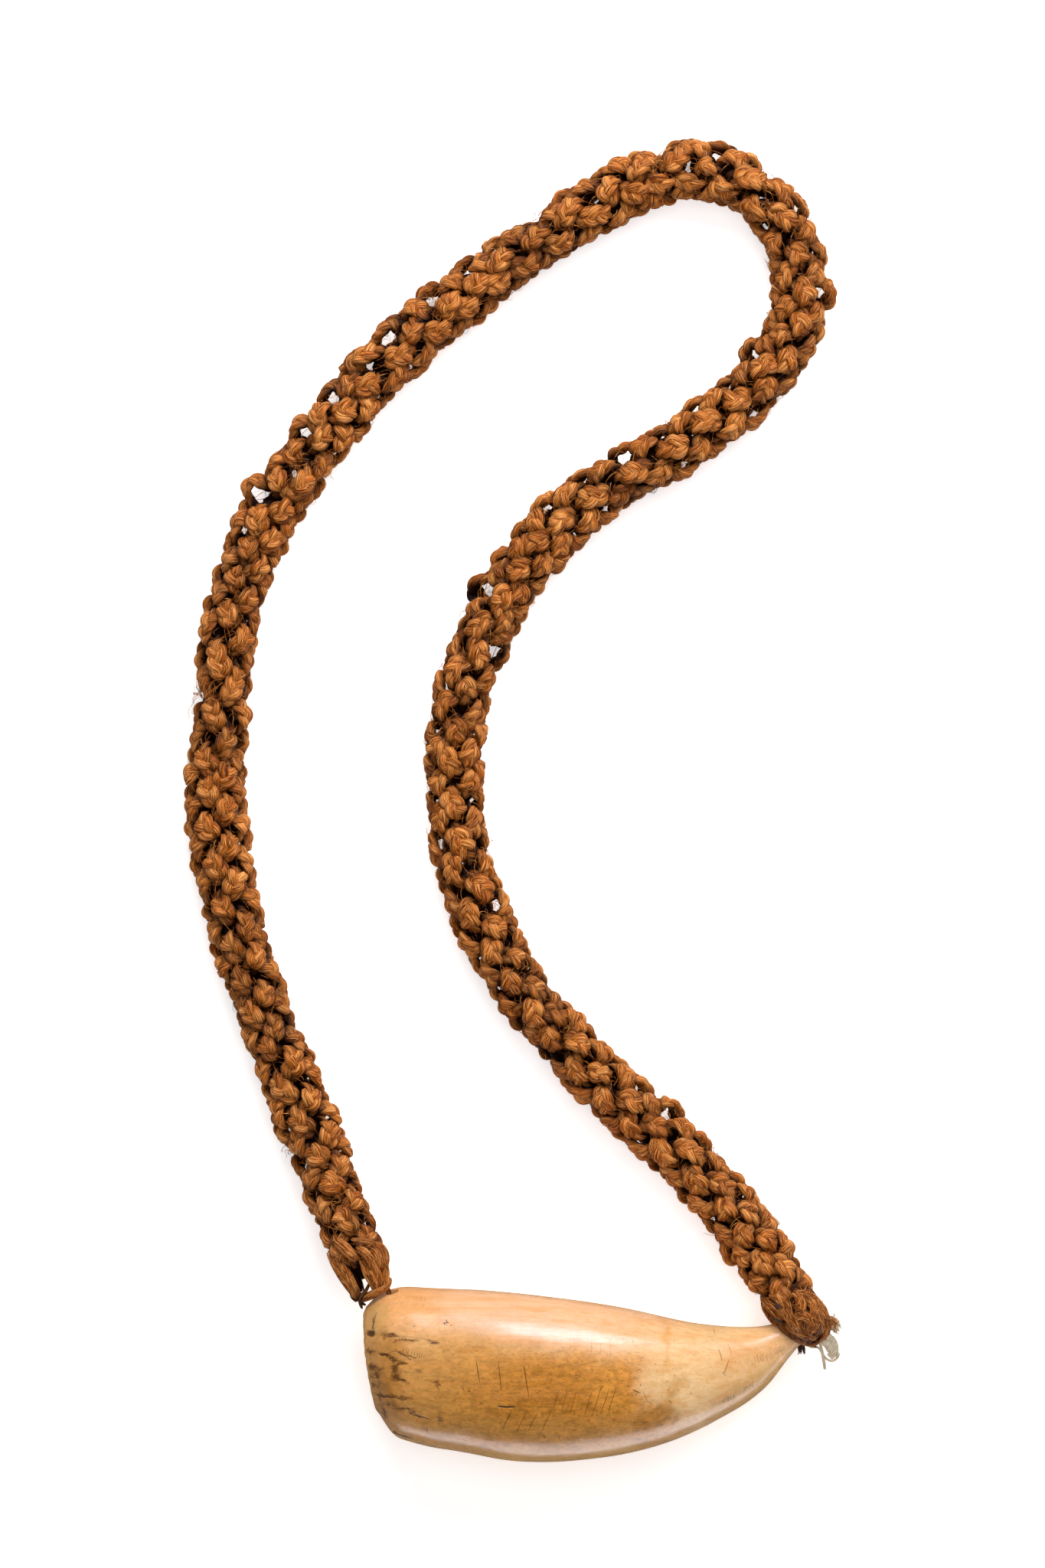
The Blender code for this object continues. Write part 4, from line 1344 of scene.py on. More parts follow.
@dataclass
class Plait:
    """A round plait of eight strands, four each way, each strand itself a flat plait of three plies.

    A strand swings out over the strands that it crosses and in under the next, and goes straighter
    along the cord where it is out, so that its outer stretches look like slanted beads.
    """

    line: CordLine
    eyelets: tuple[Eyelet, ...] = ()
    width: float = 22.0
    strands_each_way: int = 4
    bead_pitch: float = 14.3
    inner_radius: float = 4.1
    outer_radius: float = 9.25
    dwell: float = 0.5
    stretch: float = 0.20
    pinch: float = 0.78
    swell: float = 1.10
    strand_half_width: float = 2.1
    ply_swing: float = 0.8
    ply_pitch: float = 13.0
    ply_half_width: float = 1.95
    ply_half_thickness: float = 1.25
    ply_sides: int = 6
    ply_rings: int = 1850
    easy_bend: float = 0.22
    hidden_radius: float = 5.5
    hidden_share: float = 0.4
    ridge: float = 0.10
    eyelet_run: float = 5.0
    root_end: float = 0.80
    root_taper: float = 30.0
    tip_end: float = 0.92
    tip_taper: float = 20.0

    def strand(self, rng: Rng, number: int, onward: int) -> Array:
        """Lay the middle of one strand.

        Args:
            rng: Seeded source of randomness.
            number: Which of the strands that go the same way round it is.
            onward: 1 for a strand that goes round one way, -1 for the other.

        Returns:
            A row for each point: its place, its outward direction, its distance from the cord's
            middle and how plump the strand is there.
        """
        each_way = self.strands_each_way
        where = np.arange(-2.0, self.line.length + 2.0, 0.4)
        shared = np.random.default_rng(SEED + 5)
        phase = 2 * math.pi * where / (self.bead_pitch * each_way) + wander(shared, where, 120.0, 0.35)
        drift = wander(shared, where, 210.0, 0.30)
        slack = wander(shared, where, 90.0, 0.5)
        turn = onward * (phase + 2 * math.pi * number / each_way)
        swing = onward * np.cos(each_way * turn)
        out = swing * (1.5 - 0.5 * swing**2)
        middle = (self.inner_radius + self.outer_radius) / 2
        reach = (self.outer_radius - self.inner_radius) / 2
        radius = middle + reach * out + (1 + out) / 2 * (slack + wander(rng, where, 33.0, 0.8))
        radius = radius * self.drawn_in(where)
        slow = self.dwell / each_way * np.sin(each_way * turn)
        angle = turn - onward * slow + math.pi / 8 + drift + wander(rng, where, 37.0, 0.09)
        shift = self.stretch * self.bead_pitch / (2 * math.pi) * np.sin(each_way * turn)
        places, outward = self.line.round_it(where + shift + wander(rng, where, 41.0, 1.1), angle)
        centres = self.part(places + outward * radius[:, None])
        plump = self.pinch + (self.swell - self.pinch) * (1 + out) / 2 + wander(rng, where, 45.0, 0.06)
        return np.column_stack([centres, outward, radius, plump])

    def drawn_in(self, where: Array) -> Array:
        """Find how much narrower the plait is towards its two ends.

        Args:
            where: Distances along the cord.

        Returns:
            The share of its width that is left at each.
        """
        left = self.line.length - where
        root = self.root_end + (1 - self.root_end) * np.clip(where / self.root_taper, 0.0, 1.0)
        tip = self.tip_end + (1 - self.tip_end) * np.clip(left / self.tip_taper, 0.0, 1.0)
        close = np.clip((np.minimum(where, left) + 2.0) / 5.0, 0.0, 1.0)
        return root * tip * (0.45 + 0.55 * np.sin(close * math.pi / 2))

    def part(self, centres: Array) -> Array:
        """Push a strand aside where it would close an eyelet.

        Args:
            centres: The strand's points.

        Returns:
            The points, moved.
        """
        moved = centres.copy()
        for eyelet in self.eyelets:
            place, _, side, _ = self.line.at(np.array([eyelet.along]))
            hole = place[0, :2] + side[0, :2] * eyelet.aside
            away = centres[:, :2] - hole
            far = np.linalg.norm(away, axis=1)
            room = eyelet.size + self.strand_half_width + 0.6 * self.ply_half_width
            passes = np.flatnonzero((far[1:-1] < room) & (far[1:-1] <= far[:-2]) & (far[1:-1] < far[2:])) + 1
            for near in passes:
                push = (far[near] ** 3 + room**3) ** (1 / 3) - far[near]
                steps = np.linalg.norm(centres - centres[near], axis=1)
                fade = np.exp(-((steps / self.eyelet_run) ** 2))
                moved[:, :2] += fade[:, None] * push * away[near] / max(far[near], 1e-6)
        return moved

    def wind(self, rng: Rng, batch: TubeBatch, strand: Array, number: int) -> None:
        """Wind one ply of a strand, with its rings closest where it bends most and shows.

        Args:
            rng: Seeded source of randomness.
            batch: The tubes so far.
            strand: The strand's rows.
            number: Which of the strand's three plies it is.
        """
        middles, outward, radius, plump = strand[:, :3], strand[:, 3:6], strand[:, 6], strand[:, 7]
        along = travelled(middles)
        across = unit(np.cross(heading(middles), outward))
        face = np.cross(across, heading(middles))
        turn = 2 * math.pi * (along / self.ply_pitch + number / 3) + wander(rng, along, 40.0, 0.35)
        wide = self.strand_half_width * plump * np.sin(turn) * (1 + wander(rng, along, 21.0, 0.1))
        lift = self.ply_swing * np.sin(2 * turn)
        centres = middles + across * wide[:, None] + face * lift[:, None]
        steps = np.linalg.norm(np.gradient(centres, axis=0), axis=1)
        bend = np.linalg.norm(np.gradient(heading(centres), axis=0), axis=1) / steps
        crowd = (1 + np.minimum(bend / self.easy_bend, 4.0)) * steps
        crowd = np.cumsum(crowd * np.where(radius < self.hidden_radius, self.hidden_share, 1.0))
        half_width = self.ply_half_width * plump * (1 + wander(rng, along, 17.0, 0.13))
        half_thickness = self.ply_half_thickness * plump * (1 + wander(rng, along, 23.0, 0.13))
        sides = round_angles(self.ply_sides)
        ridges = np.column_stack([wander(rng, along, 11.0, self.ridge) for _ in sides])
        table = np.column_stack([centres, face, radius + lift, half_width, half_thickness, ridges])
        table = resampled(np.linspace(crowd[0], crowd[-1], self.ply_rings), crowd, table)
        # The depth from the cord's middle, lower on each ply's underside, becomes the shade value that the
        # finish paints as shade in the recesses.
        depth = table[:, 6:7] + table[:, 8:9] * np.sin(sides)
        along = travelled(table[:, :3]) + 100 * rng.random()
        girth = math.pi * (self.ply_half_width + self.ply_half_thickness)
        batch.sweep(
            table[:, :3], table[:, 3:6], table[:, 7], table[:, 8], along, girth, depth * 2 / self.width,
            rng.random(), table[:, 9:],
        )

    def build(self, coir: Material) -> list[Object]:
        """Make the plait's strands, two to a piece.

        Args:
            coir: Their material.

        Returns:
            The pieces.
        """
        rng = np.random.default_rng(SEED)
        pieces = []
        for number in range(self.strands_each_way):
            batch = TubeBatch(self.ply_sides)
            for onward in (1, -1):
                strand = self.strand(rng, number, onward)
                for ply in range(3):
                    self.wind(rng, batch, strand, ply)
            name = f"coir_plait_{number + 1}"
            pieces.append(add_piece(name, batch.mesh(name), coir, Slot.PLAIT))
        return pieces


@dataclass(frozen=True)
class Tangle:
    """A spot where loose fibres curl up into a small nest, in millimetres and turns round the cord."""

    along: float
    around: float
    count: int
    spread: float = 5.0


@dataclass
class LooseFibres:
    """Broken fibres that have worked out of the plait.

    Most run over it and across its hollows, a few stand out from it, and some curl up in nests.
    """

    line: CordLine
    tangles: tuple[Tangle, ...] = ()
    count: int = 2300
    tufts: int = 60
    tuft_fibres: int = 11
    tuft_spread: float = 1.5
    on_top: float = 0.75
    shortest: float = 3.0
    longest: float = 20.0
    stray_longest: float = 6.0
    half_width: float = 0.12
    steps: int = 6
    smooth_points: int = 10
    lean: float = 0.55
    heading_spread: float = 0.4
    curl: float = 0.10
    tangle_curl: float = 0.45
    nest_length: float = 8.0
    kept_back: float = 6.0
    deepest: float = 8.2
    highest: float = 11.0
    settling: float = 0.08
    stray_share: float = 0.10
    farthest: float = 4.0
    ground: float = 0.25

    def lines(self, rng: Rng) -> tuple[Array, Array]:
        """Lay the fibres' lines round the cord.

        Args:
            rng: Seeded source of randomness.

        Returns:
            The lines' points, as fibres by points by 3, and which of them stand out or curl.
        """
        whole = self.line.length
        nest = np.concatenate([np.zeros((0, 3))] + [
            np.tile((tangle.along, 2 * math.pi * tangle.around, tangle.spread), (tangle.count, 1))
            for tangle in self.tangles
        ])
        spots = np.column_stack([
            rng.uniform(10.0, whole - 10.0, self.tufts),
            rng.uniform(-0.3, math.pi + 0.3, self.tufts),
            np.full(self.tufts, self.tuft_spread),
        ])
        nest = np.concatenate([nest, np.repeat(spots, self.tuft_fibres, axis=0)])
        count = self.count
        total = count + len(nest)
        along = np.concatenate([rng.uniform(1.0, whole - 1.0, count), nest[:, 0]])
        top = rng.random(count) < self.on_top
        around = np.where(top, rng.uniform(0.0, math.pi, count), rng.uniform(math.pi, 2 * math.pi, count))
        around = np.concatenate([around, nest[:, 1]])
        nested = np.arange(total) >= count
        spread = np.concatenate([np.zeros(count), nest[:, 2]])
        along += spread * rng.standard_normal(total)
        around += spread / self.highest * rng.standard_normal(total)
        way = rng.choice((0.0, math.pi), total) + self.lean * rng.choice((-1.0, 1.0), total)
        way += self.heading_spread * rng.standard_normal(total)
        curl = np.where(nested, self.tangle_curl, self.curl) * rng.standard_normal(total)
        curl = np.where(rng.random(total) < 0.12, 4 * curl, curl)
        length = self.shortest + (self.longest - self.shortest) * rng.random(total) ** 2
        length = np.where(nested, np.minimum(length + 2.0, self.nest_length), length)
        phase = rng.uniform(0.0, 2 * math.pi, total)
        radius = rng.uniform(self.deepest, self.highest, total) - self.settling * (length - self.shortest)
        stray = (nested | (rng.random(total) < self.stray_share)) * self.farthest * rng.random(total) ** 2
        length = np.where((stray > 0.0) & ~nested, np.minimum(length, self.stray_longest), length)
        step = length / self.steps
        points = []
        for number in range(self.steps + 1):
            share = number / self.steps
            arch = 1 - (2 * share - 1) ** 2
            out = radius - 1.6 + 1.6 * arch + stray * share**1.5 + 0.3 * np.sin(phase + 2.1 * number)
            kept = np.clip(along, self.kept_back, whole - self.kept_back)
            places, outward = self.line.round_it(kept, around)
            points.append(places + outward * out[:, None])
            along = along + np.cos(way) * step
            around = around + np.sin(way) * step / out
            way = way + curl * step + 0.07 * rng.standard_normal(total)
        lines = np.stack(points, axis=1)
        lines[..., 2] = np.maximum(lines[..., 2], self.ground)
        return lines, nested | (length > 9.0)

    def build(self, coir: Material) -> Object:
        """Make the fibres.

        Args:
            coir: Their material.

        Returns:
            The piece.
        """
        rng = np.random.default_rng(SEED + 11)
        batch = TubeBatch(3, self.ground)
        for points, free in zip(*self.lines(rng)):
            if free:
                points = evenly(points, self.smooth_points)
            half = self.half_width * (0.7 + 0.7 * rng.random()) * np.linspace(1.0, 0.5, len(points))
            batch.hair(points, half, 1.0, 0.3 + 0.7 * rng.random())
        return add_piece("loose_fibres", batch.mesh("loose_fibres"), coir, Slot.PLAIT)


def cross_directions(middles: Array, outward: Array) -> tuple[Array, Array]:
    """Find the directions across a run of fibres.

    Args:
        middles: The points of its line.
        outward: The direction that it faces, at each of them or all along.

    Returns:
        The directions of its width and of its thickness at each point.
    """
    ahead = heading(middles)
    across = unit(np.cross(ahead, outward) + 1e-6)
    return across, np.cross(across, ahead)


@dataclass(frozen=True)
class Run:
    """A yarn or tape that lies along its own points and narrows towards its ends, in millimetres."""

    points: tuple[Point, ...]
    half_width: float
    half_thickness: float = 1.1
    bundles: int = 3
    end_width: float = 0.8
    shade: float = 1.0
    step: float = 0.8

    def lay(self, rng: Rng, batch: TubeBatch) -> None:
        """Add the run's bundles to a batch.

        Args:
            rng: Seeded source of randomness.
            batch: The tubes so far.
        """
        rows = np.array(self.points)
        middles = evenly(rows, max(6, int(travelled(rows)[-1] / self.step)))
        across, up = cross_directions(middles, np.array((0.0, 0.0, 1.0)))
        along = travelled(middles)
        share = np.linspace(0.0, 1.0, len(middles))
        narrow = self.end_width + (1 - self.end_width) * np.sin(math.pi * share) ** 0.5
        # Each bundle's underside gets a lower shade value, so the finish paints shade on it.
        shade = self.shade * (0.85 + 0.15 * np.sin(round_angles(batch.sides)))
        for number in range(self.bundles):
            place = (number + 0.5) / self.bundles * 2 - 1
            sideways = place * (self.half_width - self.half_width / self.bundles) * narrow
            sideways = sideways + wander(rng, along, 14.0, 0.18 * self.half_width / self.bundles)
            lift = 0.35 * self.half_thickness * math.sqrt(1 - place * place) + wander(rng, along, 9.0, 0.12)
            centres = middles + across * sideways[:, None] + up * lift[:, None]
            half_width = 1.25 * self.half_width / self.bundles * narrow
            ridges = np.column_stack([wander(rng, along, 8.0, 0.07) for _ in range(batch.sides)])
            girth = math.pi * (half_width.mean() + self.half_thickness)
            batch.sweep(
                centres, up, half_width, self.half_thickness * narrow, along + 100 * rng.random(), girth,
                shade, rng.random(), ridges,
            )


@dataclass(frozen=True)
class Hank:
    """A hank of coir: separate fibres over a filling with painted shade, in millimetres. All dip in at both
    ends.
    """

    points: tuple[Point, ...]
    half_width: float
    half_thickness: float = 1.0
    fibres: int = 14
    shade: float = 1.0
    dip: float = 1.6
    fibre: float = 0.29
    stagger: float = 0.12
    step: float = 0.9

    def lay(self, rng: Rng, batch: TubeBatch, hub: Array | None = None) -> None:
        """Add the hank's fibres to a batch.

        Args:
            rng: Seeded source of randomness.
            batch: The tubes so far.
            hub: A point that the hank's outer side faces away from. Without one it faces up.
        """
        rows = np.array(self.points)
        middles = evenly(rows, 4 * max(8, int(travelled(rows)[-1] / self.step)))
        across, up = cross_directions(
            middles, np.array((0.0, 0.0, 1.0)) if hub is None else unit(middles - hub),
        )
        share = np.linspace(0.0, 1.0, len(middles))
        sunk = self.dip * np.abs(2 * share - 1) ** 4
        narrow = 0.55 + 0.45 * np.sin(math.pi * share) ** 0.6
        kept = slice(0, None, 4)
        taper = np.sin(math.pi * np.clip(share[kept], 0.02, 0.98)) ** 0.5
        # The filling takes a lower shade value: painted shade in the gaps between the fibres.
        batch.sweep(
            (middles - up * sunk[:, None])[kept], up[kept], 0.9 * self.half_width * taper,
            0.8 * self.half_thickness * taper, travelled(middles[kept]), 6 * self.half_width,
            0.8 * self.shade, rng.random(),
        )
        for number in range(self.fibres):
            turn = math.pi * (number + rng.uniform(0.1, 0.9)) / self.fibres
            first = int(rng.random() * self.stagger * len(middles))
            last = len(middles) - int(rng.random() * self.stagger * len(middles))
            count = max(6, (last - first) // 4)
            kept = np.linspace(first, last - 1, count).astype(int)
            along = travelled(middles[kept])
            turned = turn + wander(rng, along, 13.0, 0.28)
            turned = turned + rng.uniform(-0.2, 0.2) * np.linspace(-1, 1, count)
            wide = self.half_width * np.cos(turned) * narrow[kept]
            high = self.half_thickness * np.sin(turned) * narrow[kept] - sunk[kept]
            high = high + wander(rng, along, 7.0, 0.10)
            centres = middles[kept] + across[kept] * wide[:, None] + up[kept] * high[:, None]
            ends = np.sin(math.pi * np.linspace(0.12, 0.88, count)) ** 0.3
            half = self.fibre * rng.uniform(0.75, 1.3) * ends
            shade = self.shade * rng.uniform(0.88, 1.10)
            along = along + 100 * rng.random()
            batch.sweep(centres, up[kept], half, 0.85 * half, along, 6 * self.fibre, shade, rng.random())


@dataclass
class RootLashing:
    """The root end of the plait, which parts into two legs that are tied round the corner of the tooth."""

    # The hanks behind the legs have low shade values: painted shade in the hollow under the legs.
    behind: tuple[Hank, ...] = (
        Hank(((-86, 43, 23), (-84.4, 38, 24.4), (-82.8, 33, 25.2), (-81.8, 30, 25.6)), 1.6, 0.9, 12, 0.62),
        Hank(((-78, 44, 27), (-76.6, 39.4, 28.6), (-75.6, 35.4, 29.2), (-75.4, 30.8, 28.8)),
            2.2, 1, 14, 0.7),
        Hank(((-92, 44, 22), (-89.6, 39.6, 23.6), (-86.8, 34.4, 24.2), (-83.8, 29.6, 24.2)),
            1.8, 1, 12, 0.7),
    )
    right_leg: tuple[Hank, ...] = (
        Hank(((-78.4, 48.2, 31.6), (-75.4, 47.8, 32.2), (-73.4, 45.4, 31.6), (-72.8, 41.6, 31.4),
            (-73.6, 38, 31)), 1.15, 1.1),
        Hank(((-79, 46.8, 32), (-76.2, 45, 33.4), (-75, 41.8, 33.4), (-75, 38.2, 32)), 1.6, 1.5, 16),
        Hank(((-84.6, 46.6, 32.2), (-81, 45.4, 34.2), (-78.4, 42.4, 34), (-76.6, 38.8, 32.8),
            (-75.2, 35, 31.4), (-75, 31.2, 30.2)), 1.5, 1.2, 18),
        Hank(((-82.4, 43.6, 30.6), (-80.6, 39.8, 32), (-79.2, 36.4, 31.6), (-77.4, 33.2, 30.8),
            (-76.4, 30, 29.2)), 1.2, 1.1, 15),
        Hank(((-79.8, 39.8, 32.6), (-78.2, 37, 33.2), (-76.8, 34.2, 32.4), (-75.6, 30.8, 30.2)), 1, 0.9, 12),
        Hank(((-73.4, 42, 29.6), (-72.8, 38, 30.4), (-72.8, 34.8, 30.6), (-73.8, 31.2, 29.8)), 1.1, 1, 13),
    )
    left_leg: tuple[Hank, ...] = (
        Hank(((-94, 46, 24), (-92, 41.6, 26.4), (-90, 38, 26.8), (-87.4, 34, 26.8), (-84.8, 30.2, 26.2),
            (-82.6, 26.8, 24.8)), 1.3, 1.1, 15),
        Hank(((-91.4, 45, 26), (-89, 40.6, 28), (-86.8, 36.8, 28), (-84.6, 32.6, 27.6),
            (-82.2, 27.8, 25.8)), 1.4, 1.2, 16),
        Hank(((-87, 38.4, 27.4), (-85.4, 35.2, 28.8), (-83.8, 32, 28.2), (-82.6, 29.6, 26.8)), 0.9, 0.9, 11),
    )
    bands: tuple[Hank, ...] = (
        Hank(((-91.6, 50, 29), (-88, 46.8, 31.2), (-85, 44, 31.6), (-82.8, 41.2, 30)), 1.9, 1.3, 17),
        Hank(((-86, 50, 32.4), (-82.2, 49.4, 33.8), (-78.2, 48.8, 33.2), (-75.6, 46.6, 32.4)),
            0.8, 0.7, 8, 0.9),
        Hank(((-92.8, 43.8, 27), (-89.2, 43, 29.2), (-85.6, 41.4, 30), (-82.8, 39, 29.4)),
            1.1, 0.9, 12, 0.92),
        Hank(((-90, 44.6, 29.6), (-86, 43.6, 31.8), (-81.8, 43.4, 33.4)), 0.5, 0.4, 4, 1, 0.8, 0.18),
        Hank(((-71.9, 36.4, 29.2), (-71.8, 33.8, 31.2), (-73.4, 31.8, 32), (-76.8, 30.3, 31),
            (-80, 28.9, 28.8), (-83.2, 27.4, 26.4)), 1, 0.9, 13, 1, 1),
        Hank(((-72.4, 33.4, 30.8), (-75, 30.8, 31.2), (-78, 28.9, 29.4), (-82.2, 27.2, 26.6)),
            0.8, 0.7, 10, 0.94, 0.8),
        Hank(((-85.6, 30, 24.6), (-84.4, 28.2, 25), (-83.2, 27, 25)), 0.8, 0.8, 9, 0.66, 0.3, 0.22),
    )
    fastening: tuple[Run, ...] = (
        Run(((-73.4, 32.8, 29.4), (-72.2, 31.6, 28.9), (-71.6, 28, 28.2), (-72, 18, 25.7),
            (-72.5, 13, 24.2)), 1.1, 1, 2, 0.9, 0.8),
        Run(((-74.6, 12.6, 24), (-73.2, 14.8, 25.8), (-71, 14, 24.8), (-71, 11.6, 22.8), (-73, 10.6, 22.2),
            (-74.8, 12, 23.4)), 1.5, 1.4, 2, 0.9, 0.7),
    )
    tails: tuple[Run, ...] = (
        Run(((-78.8, 34, 30), (-80.1, 31.4, 30.2), (-81.6, 28.9, 28.6), (-82.1, 26.6, 26.4),
            (-81.6, 24.4, 24.8)), 0.62, 0.45, 1, 0.45, 0.72),
        Run(((-82.2, 27.2, 26.4), (-81.2, 26.3, 26.2), (-80.2, 25.8, 25.8)), 0.42, 0.4, 1, 0.4, 0.66),
    )
    sides: int = 6

    def build(self, coir: Material) -> Object:
        """Make the lashing in place of its plain solid.

        Args:
            coir: Its material.

        Returns:
            The piece.
        """
        rng = np.random.default_rng(SEED + 31)
        batch = TubeBatch(self.sides)
        hanks = (*self.behind, *self.right_leg, *self.left_leg, *self.bands)
        for piece in (*hanks, *self.fastening, *self.tails):
            piece.lay(rng, batch)
        made = add_piece("root_knot", batch.mesh("root_knot"), coir, Slot.KNOT)
        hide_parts("root_lashing")
        return made


@dataclass
class TipKnot:
    """The fat rounded end of the plait: a core under hanks of fibres that are wrapped over it.

    A wrap holds its half width, its height over the core, how many fibres it has, how far out of the painted
    shade it is and its points as seen from above. A nest holds a middle, a reach and how many crossing
    fibres it has.
    """

    start: Point = (74.0, 28.5, 18.0)
    way: Point = (0.52, -0.84, 0.13)
    length: float = 18.6
    drop: float = 3.0
    radius: float = 8.9
    swell: float = 0.06
    bluntness: float = 3.2
    flatness: float = 0.94
    core_rings: int = 26
    core_sides: int = 36
    sides: int = 6
    wraps: tuple[tuple[float, float, int, float, tuple[Place, ...]], ...] = (
        (1.8, -0.4, 16, 0.8, ((66.4, 27.4), (68.6, 22.6), (71.6, 18.4), (75.4, 15), (79.4, 12.6),
            (83.2, 11.6))),
        (2, -0.4, 16, 0.72, ((81, 24), (83.4, 20), (84.4, 16.4), (83.2, 13.6))),
        (2, -0.3, 16, 0.8, ((78, 25.4), (79.6, 21.6), (80, 17.6), (80.6, 14.2))),
        (1.7, 0.2, 22, 1, ((78.6, 31), (82, 29.4), (85.4, 25.6), (87.4, 20.6), (87.8, 16.2), (86.6, 12.8),
            (84, 11.2))),
        (1.5, 0.3, 19, 0.94, ((77.2, 30.4), (80.8, 28), (83.8, 23.6), (85.9, 18.6), (86.2, 14.8),
            (84.6, 12.4))),
        (1.2, 0.1, 14, 0.9, ((84.8, 27.4), (87.6, 23.2), (88.6, 18.6), (88.4, 14.8), (86.8, 12))),
        (1.7, 0.6, 20, 1.04, ((75.4, 20.4), (78.6, 21.8), (81.6, 20.6), (83.4, 17.8), (83.8, 14.8))),
        (1.9, 0.7, 20, 1.04, ((69.6, 25.2), (72.4, 23.6), (75, 20.6), (77, 17.2), (78.4, 15.2))),
        (1.9, 0.8, 20, 1.02, ((76, 31.4), (78.2, 28.6), (78.8, 25.4), (77.2, 22.4))),
        (1.6, 0.6, 18, 0.98, ((80.8, 29.6), (82.6, 26.4), (83.4, 23.2), (82.6, 20.4))),
        (1.3, 0, 15, 0.92, ((63.6, 27.6), (66, 23.6), (69, 19.6), (71.8, 17.4))),
        (1.8, 0.2, 20, 0.98, ((65, 27.6), (67.6, 25.2), (70.2, 22.4), (71.8, 19.4))),
        (1.8, 0.5, 20, 1, ((67, 30.2), (70, 28.8), (72.4, 26.2), (73.8, 23.4))),
        (1.2, 0.3, 14, 0.94, ((71.8, 19.4), (75.2, 16.6), (79, 14.6), (82.6, 13.4), (85.6, 13.4))),
        (1.2, 0.1, 14, 1, ((72.6, 16.8), (76.2, 13.8), (80.2, 11.8), (84, 11), (86.8, 12))),
        (1.5, -0.6, 14, 0.8, ((78, 13.4), (81, 12.2), (84.2, 12), (87.2, 14))),
        (0.5, 1.2, 6, 0.78, ((80.6, 15.6), (81.8, 13.2), (82.8, 10.8), (83.6, 9.2))),
    )
    nests: tuple[tuple[float, float, float, int], ...] = (
        (83, 16.6, 3, 26), (80.4, 29.8, 2.6, 22), (75.6, 25, 5, 20), (85.4, 22, 3.4, 14),
        (89.8, 18.8, 2.2, 26),
    )
    tufts: int = 26
    tuft_root: Point = (78.6, 12.2, 12.0)
    tuft_root_spread: Point = (1.3, 0.8, 1.5)
    tuft_tip: Point = (79.2, 8.6, 9.0)
    tuft_tip_spread: Point = (1.3, 1.4, 2.0)
    tuft_half_width: float = 0.22
    tuft_shade: float = 0.68

    def axis(self) -> tuple[Array, Array, Array, Array]:
        """Find the core's line.

        Returns:
            Its start, its end and its directions to the side and up.
        """
        way = unit(np.array(self.way))
        start = np.array(self.start)
        end = start + way * self.length - np.array((0.0, 0.0, self.drop))
        side = unit(np.cross((0.0, 0.0, 1.0), way))
        return start, end, side, np.cross(way, side)

    def size(self, share: Array) -> Array:
        """Return the core's radius at each share of its length."""
        swelling = 1 + self.swell * np.sin(math.pi * share)
        return self.radius * swelling * np.sqrt(np.maximum(1 - np.abs(share) ** self.bluntness, 0.0))

    def over(self, places: Array, lift: float) -> Array:
        """Lay places seen from above on the top of the core.

        Args:
            places: Their x and y.
            lift: How far above the core they are.

        Returns:
            The points.
        """
        start, end, _, _ = self.axis()
        run = end[:2] - start[:2]
        share = np.clip((places - start[:2]) @ run / (run @ run), 0.0, 0.999)
        middle = start + share[:, None] * (end - start)
        aside = np.linalg.norm(places - middle[:, :2], axis=1)
        size = self.size(share) + lift
        height = self.flatness * np.sqrt(np.maximum(size**2 - aside**2, 0.0))
        return np.column_stack([places, middle[:, 2] + height])

    def core(self, batch: TubeBatch) -> None:
        """Add the core to a batch.

        Args:
            batch: The tubes so far.
        """
        start, end, side, up = self.axis()
        share = np.linspace(-0.12, 0.995, self.core_rings)
        size = self.size(share)[:, None]
        middles = start + share[:, None] * (end - start)
        turn = round_angles(self.core_sides)
        wide = side * (np.cos(turn) * size)[..., None]
        high = up * (np.sin(turn) * size * self.flatness)[..., None]
        # The core's low shade value is painted shade in the gaps between the hanks over it.
        batch.add(middles[:, None] + wide + high, travelled(middles), 2 * math.pi * self.radius, 0.66, 0.3)

    def cross(self, rng: Rng, batch: TubeBatch) -> None:
        """Add the nests of single fibres that cross over the hanks.

        Args:
            rng: Seeded source of randomness.
            batch: The tubes so far.
        """
        for x, y, reach, count in self.nests:
            for _ in range(count):
                middle = np.array((x, y)) + reach * rng.uniform(-0.7, 0.7, 2)
                turn = rng.uniform(0.0, math.pi)
                curl = rng.uniform(-0.3, 0.3)
                length = rng.uniform(2.5, 8.0)
                bend = turn + curl * np.linspace(-length / 2, length / 2, 10) * 2
                way = np.column_stack([np.cos(bend), np.sin(bend)])
                line = middle + np.cumsum(way * length / 10, axis=0)
                line -= line.mean(axis=0) - middle
                lift = rng.uniform(0.9, 2.2) - 1.2 * np.linspace(-1, 1, 10) ** 2
                centres = self.over(line, 0.8)
                centres[:, 2] += lift
                batch.hair(centres, rng.uniform(0.09, 0.15), rng.uniform(0.9, 1.1), rng.random())

